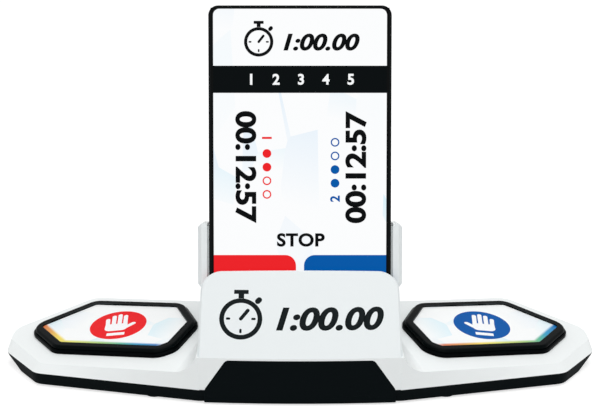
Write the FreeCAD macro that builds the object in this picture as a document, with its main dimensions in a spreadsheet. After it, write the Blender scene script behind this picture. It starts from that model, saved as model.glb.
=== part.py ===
import FreeCAD, Part
import math
import os
import Sketcher

# Speed cube timer: a two-pad docking base that holds a phone as its display.
# Frame: +X to the right, +Y to the back, +Z up, origin on the table under the middle of the base.
# Right-hand pieces are modelled and the left-hand ones are their mirror images.

App = FreeCAD
doc = App.newDocument("speed_cube_timer")
sheet = doc.addObject("Spreadsheet::Sheet", "dims")


# ---------------------------------------------------------------- sizes
class Size:
    """A length or angle, kept both as a number and as the sheet expression that gives it."""

    def __init__(self, text, value):
        self.text = text
        self.value = value

    def __add__(self, other):
        other = as_size(other)
        return Size(f"({self.text} + {other.text})", self.value + other.value)

    def __radd__(self, other):
        return as_size(other) + self

    def __sub__(self, other):
        other = as_size(other)
        return Size(f"({self.text} - {other.text})", self.value - other.value)

    def __rsub__(self, other):
        return as_size(other) - self

    def __mul__(self, other):
        other = as_size(other)
        return Size(f"({self.text} * {other.text})", self.value * other.value)

    def __rmul__(self, other):
        return as_size(other) * self

    def __truediv__(self, other):
        other = as_size(other)
        return Size(f"({self.text} / {other.text})", self.value / other.value)

    def __neg__(self):
        return Size(f"(0 - {self.text})", -self.value)


def as_size(number):
    """Return number as a Size."""
    if isinstance(number, Size):
        return number
    return Size(f"({number:.6f})", float(number))


def sine(angle):
    return Size(f"sin({angle.text})", math.sin(math.radians(angle.value)))


def cosine(angle):
    return Size(f"cos({angle.text})", math.cos(math.radians(angle.value)))


def tangent(angle):
    return Size(f"tan({angle.text})", math.tan(math.radians(angle.value)))


class Sizes:
    """The driving dimensions: each is one named cell of the sheet."""

    def __init__(self):
        self.row = 0

    def add(self, alias, value, note):
        self.row += 1
        sheet.set(f"A{self.row}", alias)
        sheet.set(f"B{self.row}", str(value))
        sheet.set(f"C{self.row}", note)
        sheet.setAlias(f"B{self.row}", alias)
        setattr(self, alias, Size(f"dims.{alias}", float(value)))


D = Sizes()
for alias, value, note in (
    # phone, the display
    ("phone_width", 75.0, "phone across"),
    ("phone_length", 145.0, "phone from foot to top"),
    ("phone_thick", 8.0, "phone front to back"),
    ("phone_corner", 4.0, "corner radius seen from the front"),
    ("phone_edge", 1.1, "rounding of the phone's long edges"),
    ("phone_rim", 0.9, "metal rim round the front glass"),
    ("glass_thick", 0.8, "front glass"),
    ("camera_side", 24.0, "raised camera window on the phone's back"),
    ("camera_rise", 1.4, "height of that window's frame"),
    ("phone_lean", 15.5, "lean of the phone from upright, degrees"),
    ("phone_foot_y", -15.22, "lower front edge of the phone"),
    ("phone_foot_z", 9.0, "height of that edge over the table"),
    # base
    ("base_front", -38.97, "foremost point of the base"),
    ("foot_height", 0.8, "rubber feet under the lower shell"),
    ("parting_z", 6.0, "seam between lower and upper shell"),
    ("wall", 2.0, "shell wall"),
    ("floor_thick", 1.8, "floor of the lower shell"),
    ("phone_side_gap", 0.8, "space between phone and core wall"),
    ("wing_span", 85.3, "wing from the core's side to the tip"),
    ("wing_root_front", -37.35, "front of the wing at the core"),
    ("wing_root_back", 29.2, "back of the wing at the core"),
    ("sweep", 12.0, "backward sweep of the wing's front, degrees"),
    ("back_sweep", 10.6, "backward sweep of the wing's back, degrees"),
    ("tip_front_x", 17.2, "front corner in from the tip"),
    ("tip_front_run", 20.1, "front corner to tip corner, along Y"),
    ("tip_length", 18.3, "blunt tip, along Y"),
    ("tip_slant", 0.4, "tip's lean towards the back"),
    ("back_corner_x", 29.8, "back corner in from the tip"),
    ("outline_radius", 8.0, "rounding of the base's outline"),
    ("deck_root_set", 0.85, "deck edge behind the seam, front of the core"),
    ("deck_front_x", 2.1, "deck's front corner in from the seam's"),
    ("deck_front_y", 2.4, "deck's front corner behind the seam's"),
    ("deck_tip_x", 0.7, "deck's tip in from the seam's"),
    ("deck_tip_front", 5.4, "deck's tip begins behind the seam's"),
    ("deck_tip_back", 3.6, "deck's tip ends before the seam's"),
    ("deck_back_x", 1.0, "deck's back corner in from the seam's"),
    ("deck_back_y", 3.3, "deck's back corner before the seam's"),
    ("deck_back_set", 5.0, "deck edge before the seam, back of the core"),
    ("base_draft", 8.0, "undercut of the black band, degrees"),
    ("tip_undercut", 57.0, "undercut of the tray's tips, degrees"),
    ("tip_lip", 0.3, "upright lip over that undercut"),
    ("tip_set", 0.8, "lip in from the tip"),
    ("deck_z", 12.9, "deck height at the pad's middle"),
    ("deck_pitch", 3.4, "deck falls outwards, degrees"),
    ("deck_roll", 4.9, "deck falls forwards, degrees"),
    ("platform_z", 17.4, "flat between the decks behind the phone"),
    ("cove_end", -2.0, "cove between deck and fascia runs out here"),
    ("cove_growth", 0.3, "cove's width and height per length towards the front"),
    # core and fascia
    ("bow_radius", 585.0, "plan radius of the bowed front"),
    ("skirt_set", 0.5, "front skirt behind the foremost point, at the seam"),
    ("crease_set", 1.9, "crease behind the foremost point"),
    ("crease_z", 19.3, "crease between skirt and fascia"),
    ("fascia_lean", 43.0, "lean of the fascia from upright, degrees"),
    ("fascia_top_z", 46.7, "top edge of the fascia"),
    ("fascia_wall", 2.2, "fascia wall"),
    ("fascia_corner", 8.5, "rounding of the fascia's upper corners"),
    ("fascia_lip", 0.8, "bevel of the fascia's upper edge"),
    ("core_back", 7.63, "back of the core"),
    ("tongue_low", 37.9, "half width of the tongue at the seam"),
    ("tongue_high", 29.2, "half width of the tongue at its top"),
    ("tongue_top_z", 18.5, "top of the tongue"),
    ("tongue_gap", 0.2, "gap round the tongue"),
    # pads
    ("pad_inner_margin", 7.7, "label's inner tip to the core"),
    ("pad_outer_margin", 13.6, "label's outer tip to the wing tip"),
    ("pad_shift", 2.0, "outer half of the label longer by this"),
    ("pad_setback", 32.78, "pad's middle behind the wing's front"),
    ("pad_front", 17.0, "pad's middle to the label's front edge"),
    ("pad_back", 17.3, "pad's middle to the label's back edge"),
    ("pad_tip_skew", 4.0, "outer tip forward and inner tip back by this"),
    ("pad_tip_back", 16.8, "outer tip to the end of the label's back edge"),
    ("pad_tip_front", 14.9, "outer tip to the end of the label's front edge"),
    ("pad_root_back", 9.2, "inner tip to the end of the label's back edge"),
    ("pad_root_front", 6.0, "inner tip to the end of the label's front edge"),
    ("pad_root_cut", 3.2, "bevel of the label's inner front corner"),
    ("cap_border", 3.6, "cap outline outside the label"),
    ("cap_gap", 0.25, "running gap round the cap"),
    ("bezel_border", 4.5, "bezel outline outside the label"),
    ("bezel_height", 1.7, "bezel over the deck"),
    ("cap_height", 3.2, "cap over the deck"),
    ("cap_plate", 2.1, "cap's top plate"),
    ("cap_edge", 1.2, "rounding of the cap's edge"),
    ("ring_round", 3.5, "extra rounding of the rings' corners"),
    ("bezel_edge", 0.45, "bevel of the bezel's edge"),
    ("cap_skirt", 1.0, "cap's skirt below the deck"),
    ("cap_wall", 1.2, "cap's skirt wall"),
    ("label_thick", 0.6, "label plate let into the cap"),
    ("label_set", 0.7, "label below the cap's rim"),
    ("label_corner", 2.0, "rounding of the label's corners"),
    ("pad_travel", 1.5, "press travel"),
    ("guide_pin_r", 1.4, "guide pin under the cap"),
    ("guide_gap", 0.08, "running gap of pin in guide"),
    ("guide_wall", 1.5, "wall of a guide tube"),
    ("guide_x", 15.0, "guide pins along the pad"),
    ("guide_y", 9.0, "guide pins across the pad"),
    ("spring_r", 5.0, "pad spring's mean radius"),
    ("spring_wire_r", 0.45, "pad spring's wire"),
    ("spring_seat", 6.6, "spring seat below the deck"),
    # touch levers
    ("pivot_y", -25.37, "lever pivot"),
    ("pivot_z", 7.2, "lever pivot"),
    ("pin_r", 1.0, "lever pin"),
    ("pin_gap", 0.05, "running gap of the lever on its pin"),
    ("hub_r", 2.1, "lever hub"),
    ("upright_x", 22.3, "inner face of the lever's upright"),
    ("lever_thick", 5.0, "width of the lever's arms along the pin"),
    ("arm_depth", 2.6, "thickness of the lever's arms"),
    ("tip_z", 33.5, "height of the touch tip"),
    ("tip_r", 3.4, "touch tip"),
    ("tip_length_y", 2.6, "touch tip, along its axis"),
    ("tip_gap", 2.0, "touch tip to screen at rest"),
    # cradle and centring arms
    ("ledge_thick", 1.8, "ledge under the phone"),
    ("rest_pad", 0.8, "rubber strip under the phone"),
    ("lip_height", 3.0, "lip in front of the phone"),
    ("lip_thick", 1.5, "lip in front of the phone"),
    ("back_gap", 0.6, "backrest behind the phone"),
    ("backrest_thick", 2.2, "backrest plate"),
    ("backrest_top", 56.0, "backrest above the phone's foot"),
    ("backrest_inset", 1.0, "backrest inside the phone's width"),
    ("gearbox_foot", 3.0, "rack housing's lower side below the spring's axis"),
    ("gearbox_depth", 5.5, "rack housing behind the backrest"),
    ("housing_wall", 1.6, "rack housing wall"),
    ("cover_thick", 1.5, "rear cover"),
    ("arm_foot", 29.2, "lower end of a centring arm"),
    ("arm_top", 55.9, "upper end of a centring arm"),
    ("arm_cheek", 4.0, "arm beside the phone"),
    ("arm_liner", 0.8, "liner between arm and phone"),
    ("arm_front", 0.6, "arm in front of the screen"),
    ("arm_bevel", 1.6, "bevel of an arm's outer edge"),
    ("arm_travel", 6.0, "each arm moves out by this"),
    ("rack_thick", 3.0, "rack bar, front to back"),
    ("rack_gap", 0.5, "rack bar behind the backrest"),
    ("rack_height", 4.6, "rack bar below its pitch line"),
    ("rack_reach", 15.0, "rack bar past the middle"),
    ("arm_peg", 20.0, "spring peg of the right arm from the middle"),
    ("gear_module", 0.8, "pinion and racks"),
    ("gear_teeth", 12.0, "pinion teeth"),
    ("gear_z", 44.0, "pinion above the phone's foot"),
    ("gear_pin_r", 1.5, "pinion stud"),
    # fasteners and feet
    ("screw_r", 1.25, "case screw shank"),
    ("screw_head_r", 2.5, "case screw head"),
    ("screw_head", 1.6, "case screw head height"),
    ("screw_length", 7.0, "case screw shank length"),
    ("boss_r", 3.6, "screw boss"),
    ("foot_r", 4.5, "rubber foot"),
    ("foot_seat", 0.6, "foot let into the shell"),
):
    D.add(alias, value, note)
doc.recompute()

core_half = D.phone_width / 2 + D.phone_side_gap + D.wall
core_inner = core_half - D.wall
floor_top = D.foot_height + D.floor_thick
wing_tip_x = core_half + D.wing_span
front_corner_x = wing_tip_x - D.tip_front_x
front_corner_y = D.wing_root_front + (front_corner_x - core_half) * tangent(D.sweep)
tip_front_y = front_corner_y + D.tip_front_run
back_corner_x = wing_tip_x - D.back_corner_x
back_corner_y = D.wing_root_back + (back_corner_x - core_half) * tangent(D.back_sweep)
pad_length = D.wing_span - D.pad_inner_margin - D.pad_outer_margin
pad_out = pad_length / 2 + D.pad_shift
pad_in = pad_length / 2 - D.pad_shift
pad_x = core_half + D.pad_inner_margin + pad_in
pad_y = D.wing_root_front + (pad_x - core_half) * tangent(D.sweep) + D.pad_setback
crease_y = D.base_front + D.crease_set
fascia_top_y = crease_y + (D.fascia_top_z - D.crease_z) * tangent(D.fascia_lean)


def numbers(*sizes):
    """Return the plain values of some sizes."""
    return [as_size(size).value for size in sizes]


# ---------------------------------------------------------------- frames
WING = App.Placement(
    App.Vector(*numbers(pad_x, pad_y, D.deck_z)),
    App.Rotation(D.sweep.value, D.deck_pitch.value, D.deck_roll.value),
)
CRADLE = App.Placement(
    App.Vector(*numbers(0, D.phone_foot_y, D.phone_foot_z)),
    App.Rotation(App.Vector(1, 0, 0), -D.phone_lean.value),
)
FASCIA = App.Placement(
    App.Vector(*numbers(0, crease_y, D.crease_z)),
    App.Rotation(App.Vector(1, 0, 0), 90 - D.fascia_lean.value),
)
ON_YZ = App.Placement(App.Vector(0, 0, 0), App.Rotation(App.Vector(1, 1, 1), 120))
ON_XZ = App.Placement(App.Vector(0, 0, 0), App.Rotation(App.Vector(1, 0, 0), 90))
BIG = 400.0
FINISHED = []


# ---------------------------------------------------------------- modelling helpers
def bind(thing, **properties):
    """Bind properties of a document object to sizes."""
    for name, size in properties.items():
        thing.setExpression(name, as_size(size).text)
    return thing


def fix_point(sketch, geometry, position, point):
    """Hold one point of a sketch at a pair of sizes."""
    for direction, size in zip(("DistanceX", "DistanceY"), point):
        size = as_size(size)
        index = sketch.addConstraint(
            Sketcher.Constraint(direction, -1, 1, geometry, position, size.value)
        )
        sketch.setExpression(f"Constraints[{index}]", size.text)


def draw_polygon(sketch, points):
    """Draw a closed polygon whose corners are pairs of sizes."""
    first = len(sketch.Geometry)
    corners = [App.Vector(*numbers(x, y), 0) for x, y in points]
    count = len(points)
    for i in range(count):
        sketch.addGeometry(Part.LineSegment(corners[i], corners[(i + 1) % count]), False)
    for i in range(count):
        sketch.addConstraint(
            Sketcher.Constraint("Coincident", first + i, 2, first + (i + 1) % count, 1)
        )
        fix_point(sketch, first + i, 1, points[i])


def polygon(name, points, placement=None):
    """Return a free sketch of one polygon."""
    sketch = doc.addObject("Sketcher::SketchObject", name)
    if placement is not None:
        sketch.Placement = placement
    draw_polygon(sketch, points)
    return sketch


def offset(name, source, distance, rounded=True):
    """Return an outline moved out by distance, with round or sharp corners."""
    thing = doc.addObject("Part::Offset2D", name)
    thing.Source = source
    thing.Join = 0 if rounded else 2
    return bind(thing, Value=distance)


def rounded(name, source, radius):
    """Return an outline with its outward corners rounded."""
    shrunk = offset(name + "_shrunk", source, -radius, rounded=False)
    return offset(name, shrunk, radius)


def extrude(name, source, length, back=None, direction=(0, 0, 1), taper=None):
    """Return a prism of an outline, optionally tapered."""
    thing = doc.addObject("Part::Extrusion", name)
    thing.Base = source
    thing.DirMode = "Custom"
    thing.Dir = App.Vector(*direction)
    thing.Solid = True
    bind(thing, LengthFwd=length)
    if back is not None:
        bind(thing, LengthRev=back)
    if taper is not None:
        bind(thing, TaperAngle=taper)
    return thing


def box(name, low, high, placement=None):
    """Return a box between two corners given as sizes."""
    thing = doc.addObject("Part::Box", name)
    bind(thing, Length=high[0] - as_size(low[0]))
    bind(thing, Width=high[1] - as_size(low[1]))
    bind(thing, Height=high[2] - as_size(low[2]))
    corner = App.Placement(App.Vector(*numbers(*low)), App.Rotation())
    thing.Placement = placement.multiply(corner) if placement else corner
    return thing


def cylinder(name, base, radius, height, placement=None, axis=(0, 0, 1)):
    """Return a cylinder that starts at base and runs along axis."""
    thing = doc.addObject("Part::Cylinder", name)
    bind(thing, Radius=radius, Height=height)
    turn = App.Rotation(App.Vector(0, 0, 1), App.Vector(*axis))
    seat = App.Placement(App.Vector(*numbers(*base)), turn)
    thing.Placement = placement.multiply(seat) if placement else seat
    return thing


def fuse(name, *things):
    """Return the union of some shapes."""
    thing = doc.addObject("Part::MultiFuse", name)
    thing.Shapes = list(things)
    thing.Refine = True
    return thing


def cut(name, base, *tools):
    """Return base with every tool taken away."""
    for i, tool in enumerate(tools):
        thing = doc.addObject("Part::Cut", name if i == len(tools) - 1 else f"{name}_{i}")
        thing.Base = base
        thing.Tool = tool
        base = thing
    return base


def common(name, *things):
    """Return what some shapes share."""
    thing = doc.addObject("Part::MultiCommon", name)
    thing.Shapes = list(things)
    return thing


def mirrored(name, source):
    """Return the mirror image of a shape on the other side of the base."""
    thing = doc.addObject("Part::Mirroring", name)
    thing.Source = source
    thing.Base = App.Vector(0, 0, 0)
    thing.Normal = App.Vector(1, 0, 0)
    return thing


def soften(name, source, radius, wanted, kind="Part::Fillet"):
    """Round or bevel the edges of a shape that the test wanted picks."""
    doc.recompute()
    picks = [i + 1 for i, edge in enumerate(source.Shape.Edges) if wanted(edge)]
    thing = doc.addObject(kind, name)
    thing.Base = source
    value = as_size(radius).value
    thing.Edges = [(i, value, value) for i in picks]
    return thing


def finish(label, thing, placement=None):
    """Name a finished sub-part."""
    if placement is not None:
        thing.Placement = placement
    thing.Label = label
    FINISHED.append(thing)
    return thing


def body(name):
    """Return an empty part design body."""
    return doc.addObject("PartDesign::Body", name)


def body_sketch(target, name, role, lift=None):
    """Return a sketch on one of a body's origin planes, lifted off it by a size."""
    plane = [item for item in target.Origin.OriginFeatures if item.Role == role][0]
    sketch = target.newObject("Sketcher::SketchObject", name)
    sketch.AttachmentSupport = (plane, [""])
    sketch.MapMode = "FlatFace"
    if lift is not None:
        sketch.setExpression("AttachmentOffset.Base.z", as_size(lift).text)
    return sketch


def body_feature(target, kind, name, profile, **sizes):
    """Add a feature that uses a sketch as its profile."""
    feature = target.newObject("PartDesign::" + kind, name)
    feature.Profile = profile
    bind(feature, **sizes)
    return feature


# ---------------------------------------------------------------- base outline
seam_corners = [
    (core_half, D.wing_root_front),
    (front_corner_x, front_corner_y),
    (wing_tip_x, tip_front_y),
    (wing_tip_x - D.tip_slant, tip_front_y + D.tip_length),
    (back_corner_x, back_corner_y),
    (core_half, D.wing_root_back),
]
deck_corners = [
    (core_half, D.wing_root_front + D.deck_root_set),
    (front_corner_x - D.deck_front_x, front_corner_y + D.deck_front_y),
    (wing_tip_x - D.deck_tip_x, tip_front_y + D.deck_tip_front),
    (wing_tip_x - D.tip_slant - D.deck_tip_x, tip_front_y + D.tip_length - D.deck_tip_back),
    (back_corner_x - D.deck_back_x, back_corner_y - D.deck_back_y),
    (core_half, D.wing_root_back - D.deck_back_set),
]
DECK_NORMAL = WING.Rotation.multVec(App.Vector(0, 0, 1))
ROOT_OVERLAP = 16.0


def deck_height(x, y):
    """Return the height of the right deck's plane over a place of the table."""
    run = DECK_NORMAL.x * (x - pad_x.value) + DECK_NORMAL.y * (y - pad_y.value)
    return D.deck_z.value - run / DECK_NORMAL.z


def on_deck(x, y):
    """Return the deck's own coordinates of the point over a place of the table."""
    spot = App.Vector(x.value, y.value, deck_height(x.value, y.value))
    local = WING.inverse().multVec(spot)
    return as_size(local.x), as_size(local.y)


def run_inwards(corners):
    """Return an open wing outline closed inside the core, its two long edges carried on."""
    inner_x = core_half - ROOT_OVERLAP
    ends = []
    for near, far in ((corners[0], corners[1]), (corners[-1], corners[-2])):
        slope = (far[1] - near[1]) / (far[0] - near[0])
        ends.append((inner_x, near[1] + (inner_x - near[0]) * slope))
    return [ends[0]] + corners[1:-1] + [ends[1]]


base_outline = rounded(
    "base_outline",
    polygon("base_polygon", seam_corners + [(-x, y) for x, y in reversed(seam_corners)]),
    D.outline_radius,
)
inner_outline = offset("inner_outline", base_outline, -D.wall)
wing_seam = rounded("wing_seam", polygon("wing_seam_polygon", run_inwards(seam_corners)), D.outline_radius)
wing_deck = rounded(
    "wing_deck",
    polygon("wing_deck_polygon", [on_deck(x, y) for x, y in run_inwards(deck_corners)]),
    D.outline_radius,
)


def lifted(name, source, height):
    """Return a copy of an outline at another height."""
    thing = doc.addObject("Part::Compound", name)
    thing.Links = [source]
    thing.setExpression("Placement.Base.z", as_size(height).text)
    return thing


def bowed(name, points, half_width, bow):
    """Return a side profile swept round the bowed front and trimmed to a half width."""
    profile = polygon(name + "_profile", points, ON_YZ)
    turn = doc.addObject("Part::Revolution", name + "_turn")
    turn.Source = profile
    turn.Axis = App.Vector(0, 0, 1)
    turn.Base = App.Vector(*numbers(0, D.base_front + bow, 0))
    turn.Symmetric = True
    turn.Solid = True
    turn.Angle = 2.4 * math.degrees(math.asin(half_width.value / bow.value))
    trim = box(name + "_trim", (-half_width, -BIG, -BIG), (half_width, BIG, BIG))
    return common(name, turn, trim)


def above_deck(name, drop):
    """Return the two half spaces over the sloping decks, lowered by drop."""
    right = box(name + "_right", (-BIG, -BIG, -drop), (BIG, BIG, BIG), WING)
    left = mirrored(name + "_left", right)
    level = box(name + "_level", (-BIG, -BIG, D.platform_z - drop), (BIG, BIG, BIG))
    return right, left, level


# ---------------------------------------------------------------- pad outlines
label_polygon = polygon(
    "label_polygon",
    [
        (pad_out, -D.pad_tip_skew),
        (pad_out - D.pad_tip_back, D.pad_back),
        (D.pad_root_back - pad_in, D.pad_back),
        (-pad_in, D.pad_tip_skew),
        (D.pad_root_front - D.pad_root_cut - pad_in, D.pad_root_cut - D.pad_front),
        (D.pad_root_front - pad_in, -D.pad_front),
        (pad_out - D.pad_tip_front, -D.pad_front),
    ],
)
label_outline = rounded("label_outline", label_polygon, D.label_corner)
ring_core = offset("ring_core", label_polygon, -D.ring_round, rounded=False)
cap_outline = offset("cap_outline", ring_core, D.ring_round + D.cap_border)
bore_outline = offset("bore_outline", ring_core, D.ring_round + D.cap_border + D.cap_gap)
bezel_outline = offset("bezel_outline", ring_core, D.ring_round + D.bezel_border)


def at_height(name, source, low, high):
    """Return a prism of a pad outline between two heights over the deck."""
    return extrude(name, source, high, -as_size(low))


# ---------------------------------------------------------------- screws and feet places
front_way = D.pad_front + 8.0
back_way = D.pad_back + 7.5
front_boss = (pad_x + front_way * sine(D.sweep), pad_y - front_way * cosine(D.sweep))
back_boss = (pad_x - back_way * sine(D.sweep), pad_y + back_way * cosine(D.sweep))
rear_boss = (core_half - 10.0, D.wing_root_back - 8.5)
BOSSES = [front_boss, back_boss, rear_boss]
FEET = [
    (as_size(0), D.base_front + 7.5),
    (core_half + 18.3, D.wing_root_front + 9.4),
    (wing_tip_x - 22.0, tip_front_y + 3.0),
    (core_half + 13.0, D.wing_root_back - 5.0),
]


PLINTH_HALF = 26.0
PLINTH_FRONT = D.phone_foot_y - 1.0
PLINTH_BACK = D.phone_foot_y + 6.0
screw_seat = D.foot_height + 0.3
screw_top = screw_seat + 1.0 + D.screw_length
CRADLE_SCREWS = [(as_size(18.0), D.phone_foot_y + 2.8)]
plinth_top = floor_top + 1.4


def both_sides(places):
    """Return places with their mirror images, those on the middle once."""
    out = []
    for x, y in places:
        out.append((x, y))
        if abs(x.value) > 0:
            out.append((-x, y))
    return out


# ---------------------------------------------------------------- upper shell
def make_wing(name, inward, drop, low):
    """Return the right wing from the seam up to its deck, moved in and lowered by a wall."""
    foot = lifted(name + "_foot", offset(name + "_seam", wing_seam, -inward), low)
    top = doc.addObject("Part::Compound", name + "_top")
    top.Links = [offset(name + "_deck", wing_deck, -inward)]
    top.Placement = WING.multiply(App.Placement(App.Vector(*numbers(0, 0, -drop)), App.Rotation()))
    wing = doc.addObject("Part::Loft", name)
    wing.Sections = [foot, top]
    wing.Solid = True
    wing.Ruled = True
    return wing


COVE_SINK = 0.05
SKIRT_LEAN = 6.0


def make_cove():
    """Return the right concave cove that rises from the deck's front corner to the fascia's side."""
    sections = []
    for y in (D.base_front.value - 3.0, D.cove_end.value - 2.0):
        size = D.cove_growth.value * (D.cove_end.value - y)
        inner = core_half.value
        low = deck_height(inner, y)
        foot = deck_height(inner + size, y) - COVE_SINK
        bend = 1 - math.sqrt(0.5)
        middle = App.Vector(inner + size * bend, y, low + (foot - low) * bend + size * bend)
        corners = [
            App.Vector(inner, y, low + size),
            App.Vector(inner, y, low - 1.0),
            App.Vector(inner + size, y, foot - 1.0),
            App.Vector(inner + size, y, foot),
        ]
        edges = [Part.LineSegment(a, b).toShape() for a, b in zip(corners, corners[1:])]
        edges.append(Part.Arc(corners[-1], middle, corners[0]).toShape())
        sections.append(Part.Wire(edges))
    block = doc.addObject("Part::Feature", "cove_block")
    block.Shape = Part.makeLoft(sections, True, True)
    # the front follows the skirt below the crease and the fascia's face above it
    near_x, near_y = numbers(*deck_corners[0])
    far_x, far_y = numbers(*deck_corners[1])
    heading = math.degrees(math.atan2(far_y - near_y, far_x - near_x))
    start = App.Vector(near_x, near_y, deck_height(near_x, near_y))
    front = App.Placement(start, App.Rotation(heading, 0, -SKIRT_LEAN))
    before = box("cove_before", (-BIG, -BIG, -BIG), (BIG, as_size(0), BIG), front)
    sagitta = core_half.value ** 2 / (2 * D.bow_radius.value)
    over = box("cove_over", (-BIG, -BIG, -sagitta * math.cos(math.radians(D.fascia_lean.value))),
               (BIG, BIG, BIG), FASCIA)
    return cut("cove", block, before, over)


def platform_profile(name, step):
    """Side view of the level block behind the phone, drawn in by a wall."""
    slope = D.deck_back_set / (D.platform_z - D.parting_z)
    back = D.wing_root_back - step * 1.1
    return polygon(
        name,
        [
            (D.core_back - 1.0 - step, D.parting_z),
            (back, D.parting_z),
            (back - (D.platform_z - step - D.parting_z) * slope, D.platform_z - step),
            (D.core_back - 1.0 - step, D.platform_z - step),
        ],
        ON_YZ,
    )


def make_upper_shell():
    """White shell: two sloping decks joined behind the phone, and the core with its front skirt."""
    beside = box("beside_core", (core_half - 0.5, -BIG, -BIG), (BIG, BIG, BIG))
    wing = make_wing("wing", as_size(0), as_size(0), D.parting_z)
    wing = common("wing_right", wing, beside)
    wing = fuse("wing_coved", wing, make_cove())
    middle = extrude("platform", platform_profile("platform_view", as_size(0)), core_half, core_half,
                     direction=(1, 0, 0))
    middle = cut("platform_sloped", middle, *above_deck("deck_top", as_size(0)))
    core = bowed(
        "core_block",
        [
            (D.base_front + D.skirt_set, D.parting_z),
            (crease_y, D.crease_z),
            (D.core_back, D.crease_z),
            (D.core_back, D.parting_z),
        ],
        core_half,
        D.bow_radius,
    )
    solid = fuse("upper_solid", wing, mirrored("wing_left", wing), middle, core)
    within = box("beside_well", (core_inner, -BIG, -BIG), (BIG, BIG, BIG))
    hollow = common("wing_room", make_wing("wing_inside", D.wall, D.wall, D.parting_z - 0.01), within)
    back_room = extrude("platform_room", platform_profile("platform_room_view", D.wall), core_inner,
                        core_inner, direction=(1, 0, 0))
    back_room = cut("platform_inside", back_room, *above_deck("deck_under", D.wall))
    well = bowed(
        "core_well",
        [
            (D.base_front + D.skirt_set + D.wall, D.parting_z - 1),
            (crease_y + D.wall, D.crease_z + 1),
            (D.core_back - D.wall, D.crease_z + 1),
            (D.core_back - D.wall, D.parting_z - 1),
        ],
        core_inner,
        D.bow_radius,
    )
    notch = extrude("tongue_notch", tongue_outline("tongue_notch_outline", as_size(0)),
                    20.0, direction=(0, 1, 0))
    notch.Placement = App.Placement(App.Vector(*numbers(0, D.base_front - 5, 0)), App.Rotation())
    bores = [at_height("deck_bore_right", bore_outline, -12.0, 6.0)]
    bores[0].Placement = WING
    bores.append(mirrored("deck_bore_left", bores[0]))
    shell = cut("upper_hollow", solid, hollow, mirrored("wing_room_left", hollow), back_room, well,
                notch, *bores)
    posts = []
    holes = []
    for i, (x, y) in enumerate(both_sides(BOSSES)):
        foot = D.parting_z + 1.0
        posts.append(cylinder(f"upper_post_{i}", (x, y, foot), D.boss_r - 0.6, BIG / 10))
        holes.append(cylinder(f"upper_pilot_{i}", (x, y, foot), D.screw_r, screw_top - foot + 0.2))
    inside = cut("post_space", fuse("upper_posts", *posts), *above_deck("post_top", D.wall / 2))
    bossed = fuse("upper_bossed", shell, inside)
    return finish("upper_shell", cut("upper_shell", bossed, fuse("upper_pilots", *holes)))


def tongue_outline(name, shrink):
    """Front view of the black tongue, its sides shrunk by a gap; upper corners rounded."""
    low = D.parting_z - 3.0
    slope = (D.tongue_low - D.tongue_high) / (D.tongue_top_z - D.parting_z)
    wide = D.tongue_low + slope * 3.0 - shrink
    high = D.tongue_high - shrink
    top = D.tongue_top_z - shrink
    sketch = polygon(name + "_polygon", [(-wide, low), (wide, low), (high, top), (-high, top)], ON_XZ)
    return rounded(name, sketch, as_size(2.5))


# ---------------------------------------------------------------- lower shell
saddle_thick = as_size(3.0)
saddle_inner = D.upright_x - 0.3 - saddle_thick
saddle_outer = core_half + 16.4
hub_start = saddle_inner + saddle_thick + 0.3
hub_end = saddle_outer - 0.3


GUIDE_DEPTH = 16.0
NOSE_RISE = 2.1
NOSE_STEP = 2.4
NOSE_DEPTH = 8.0


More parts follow.
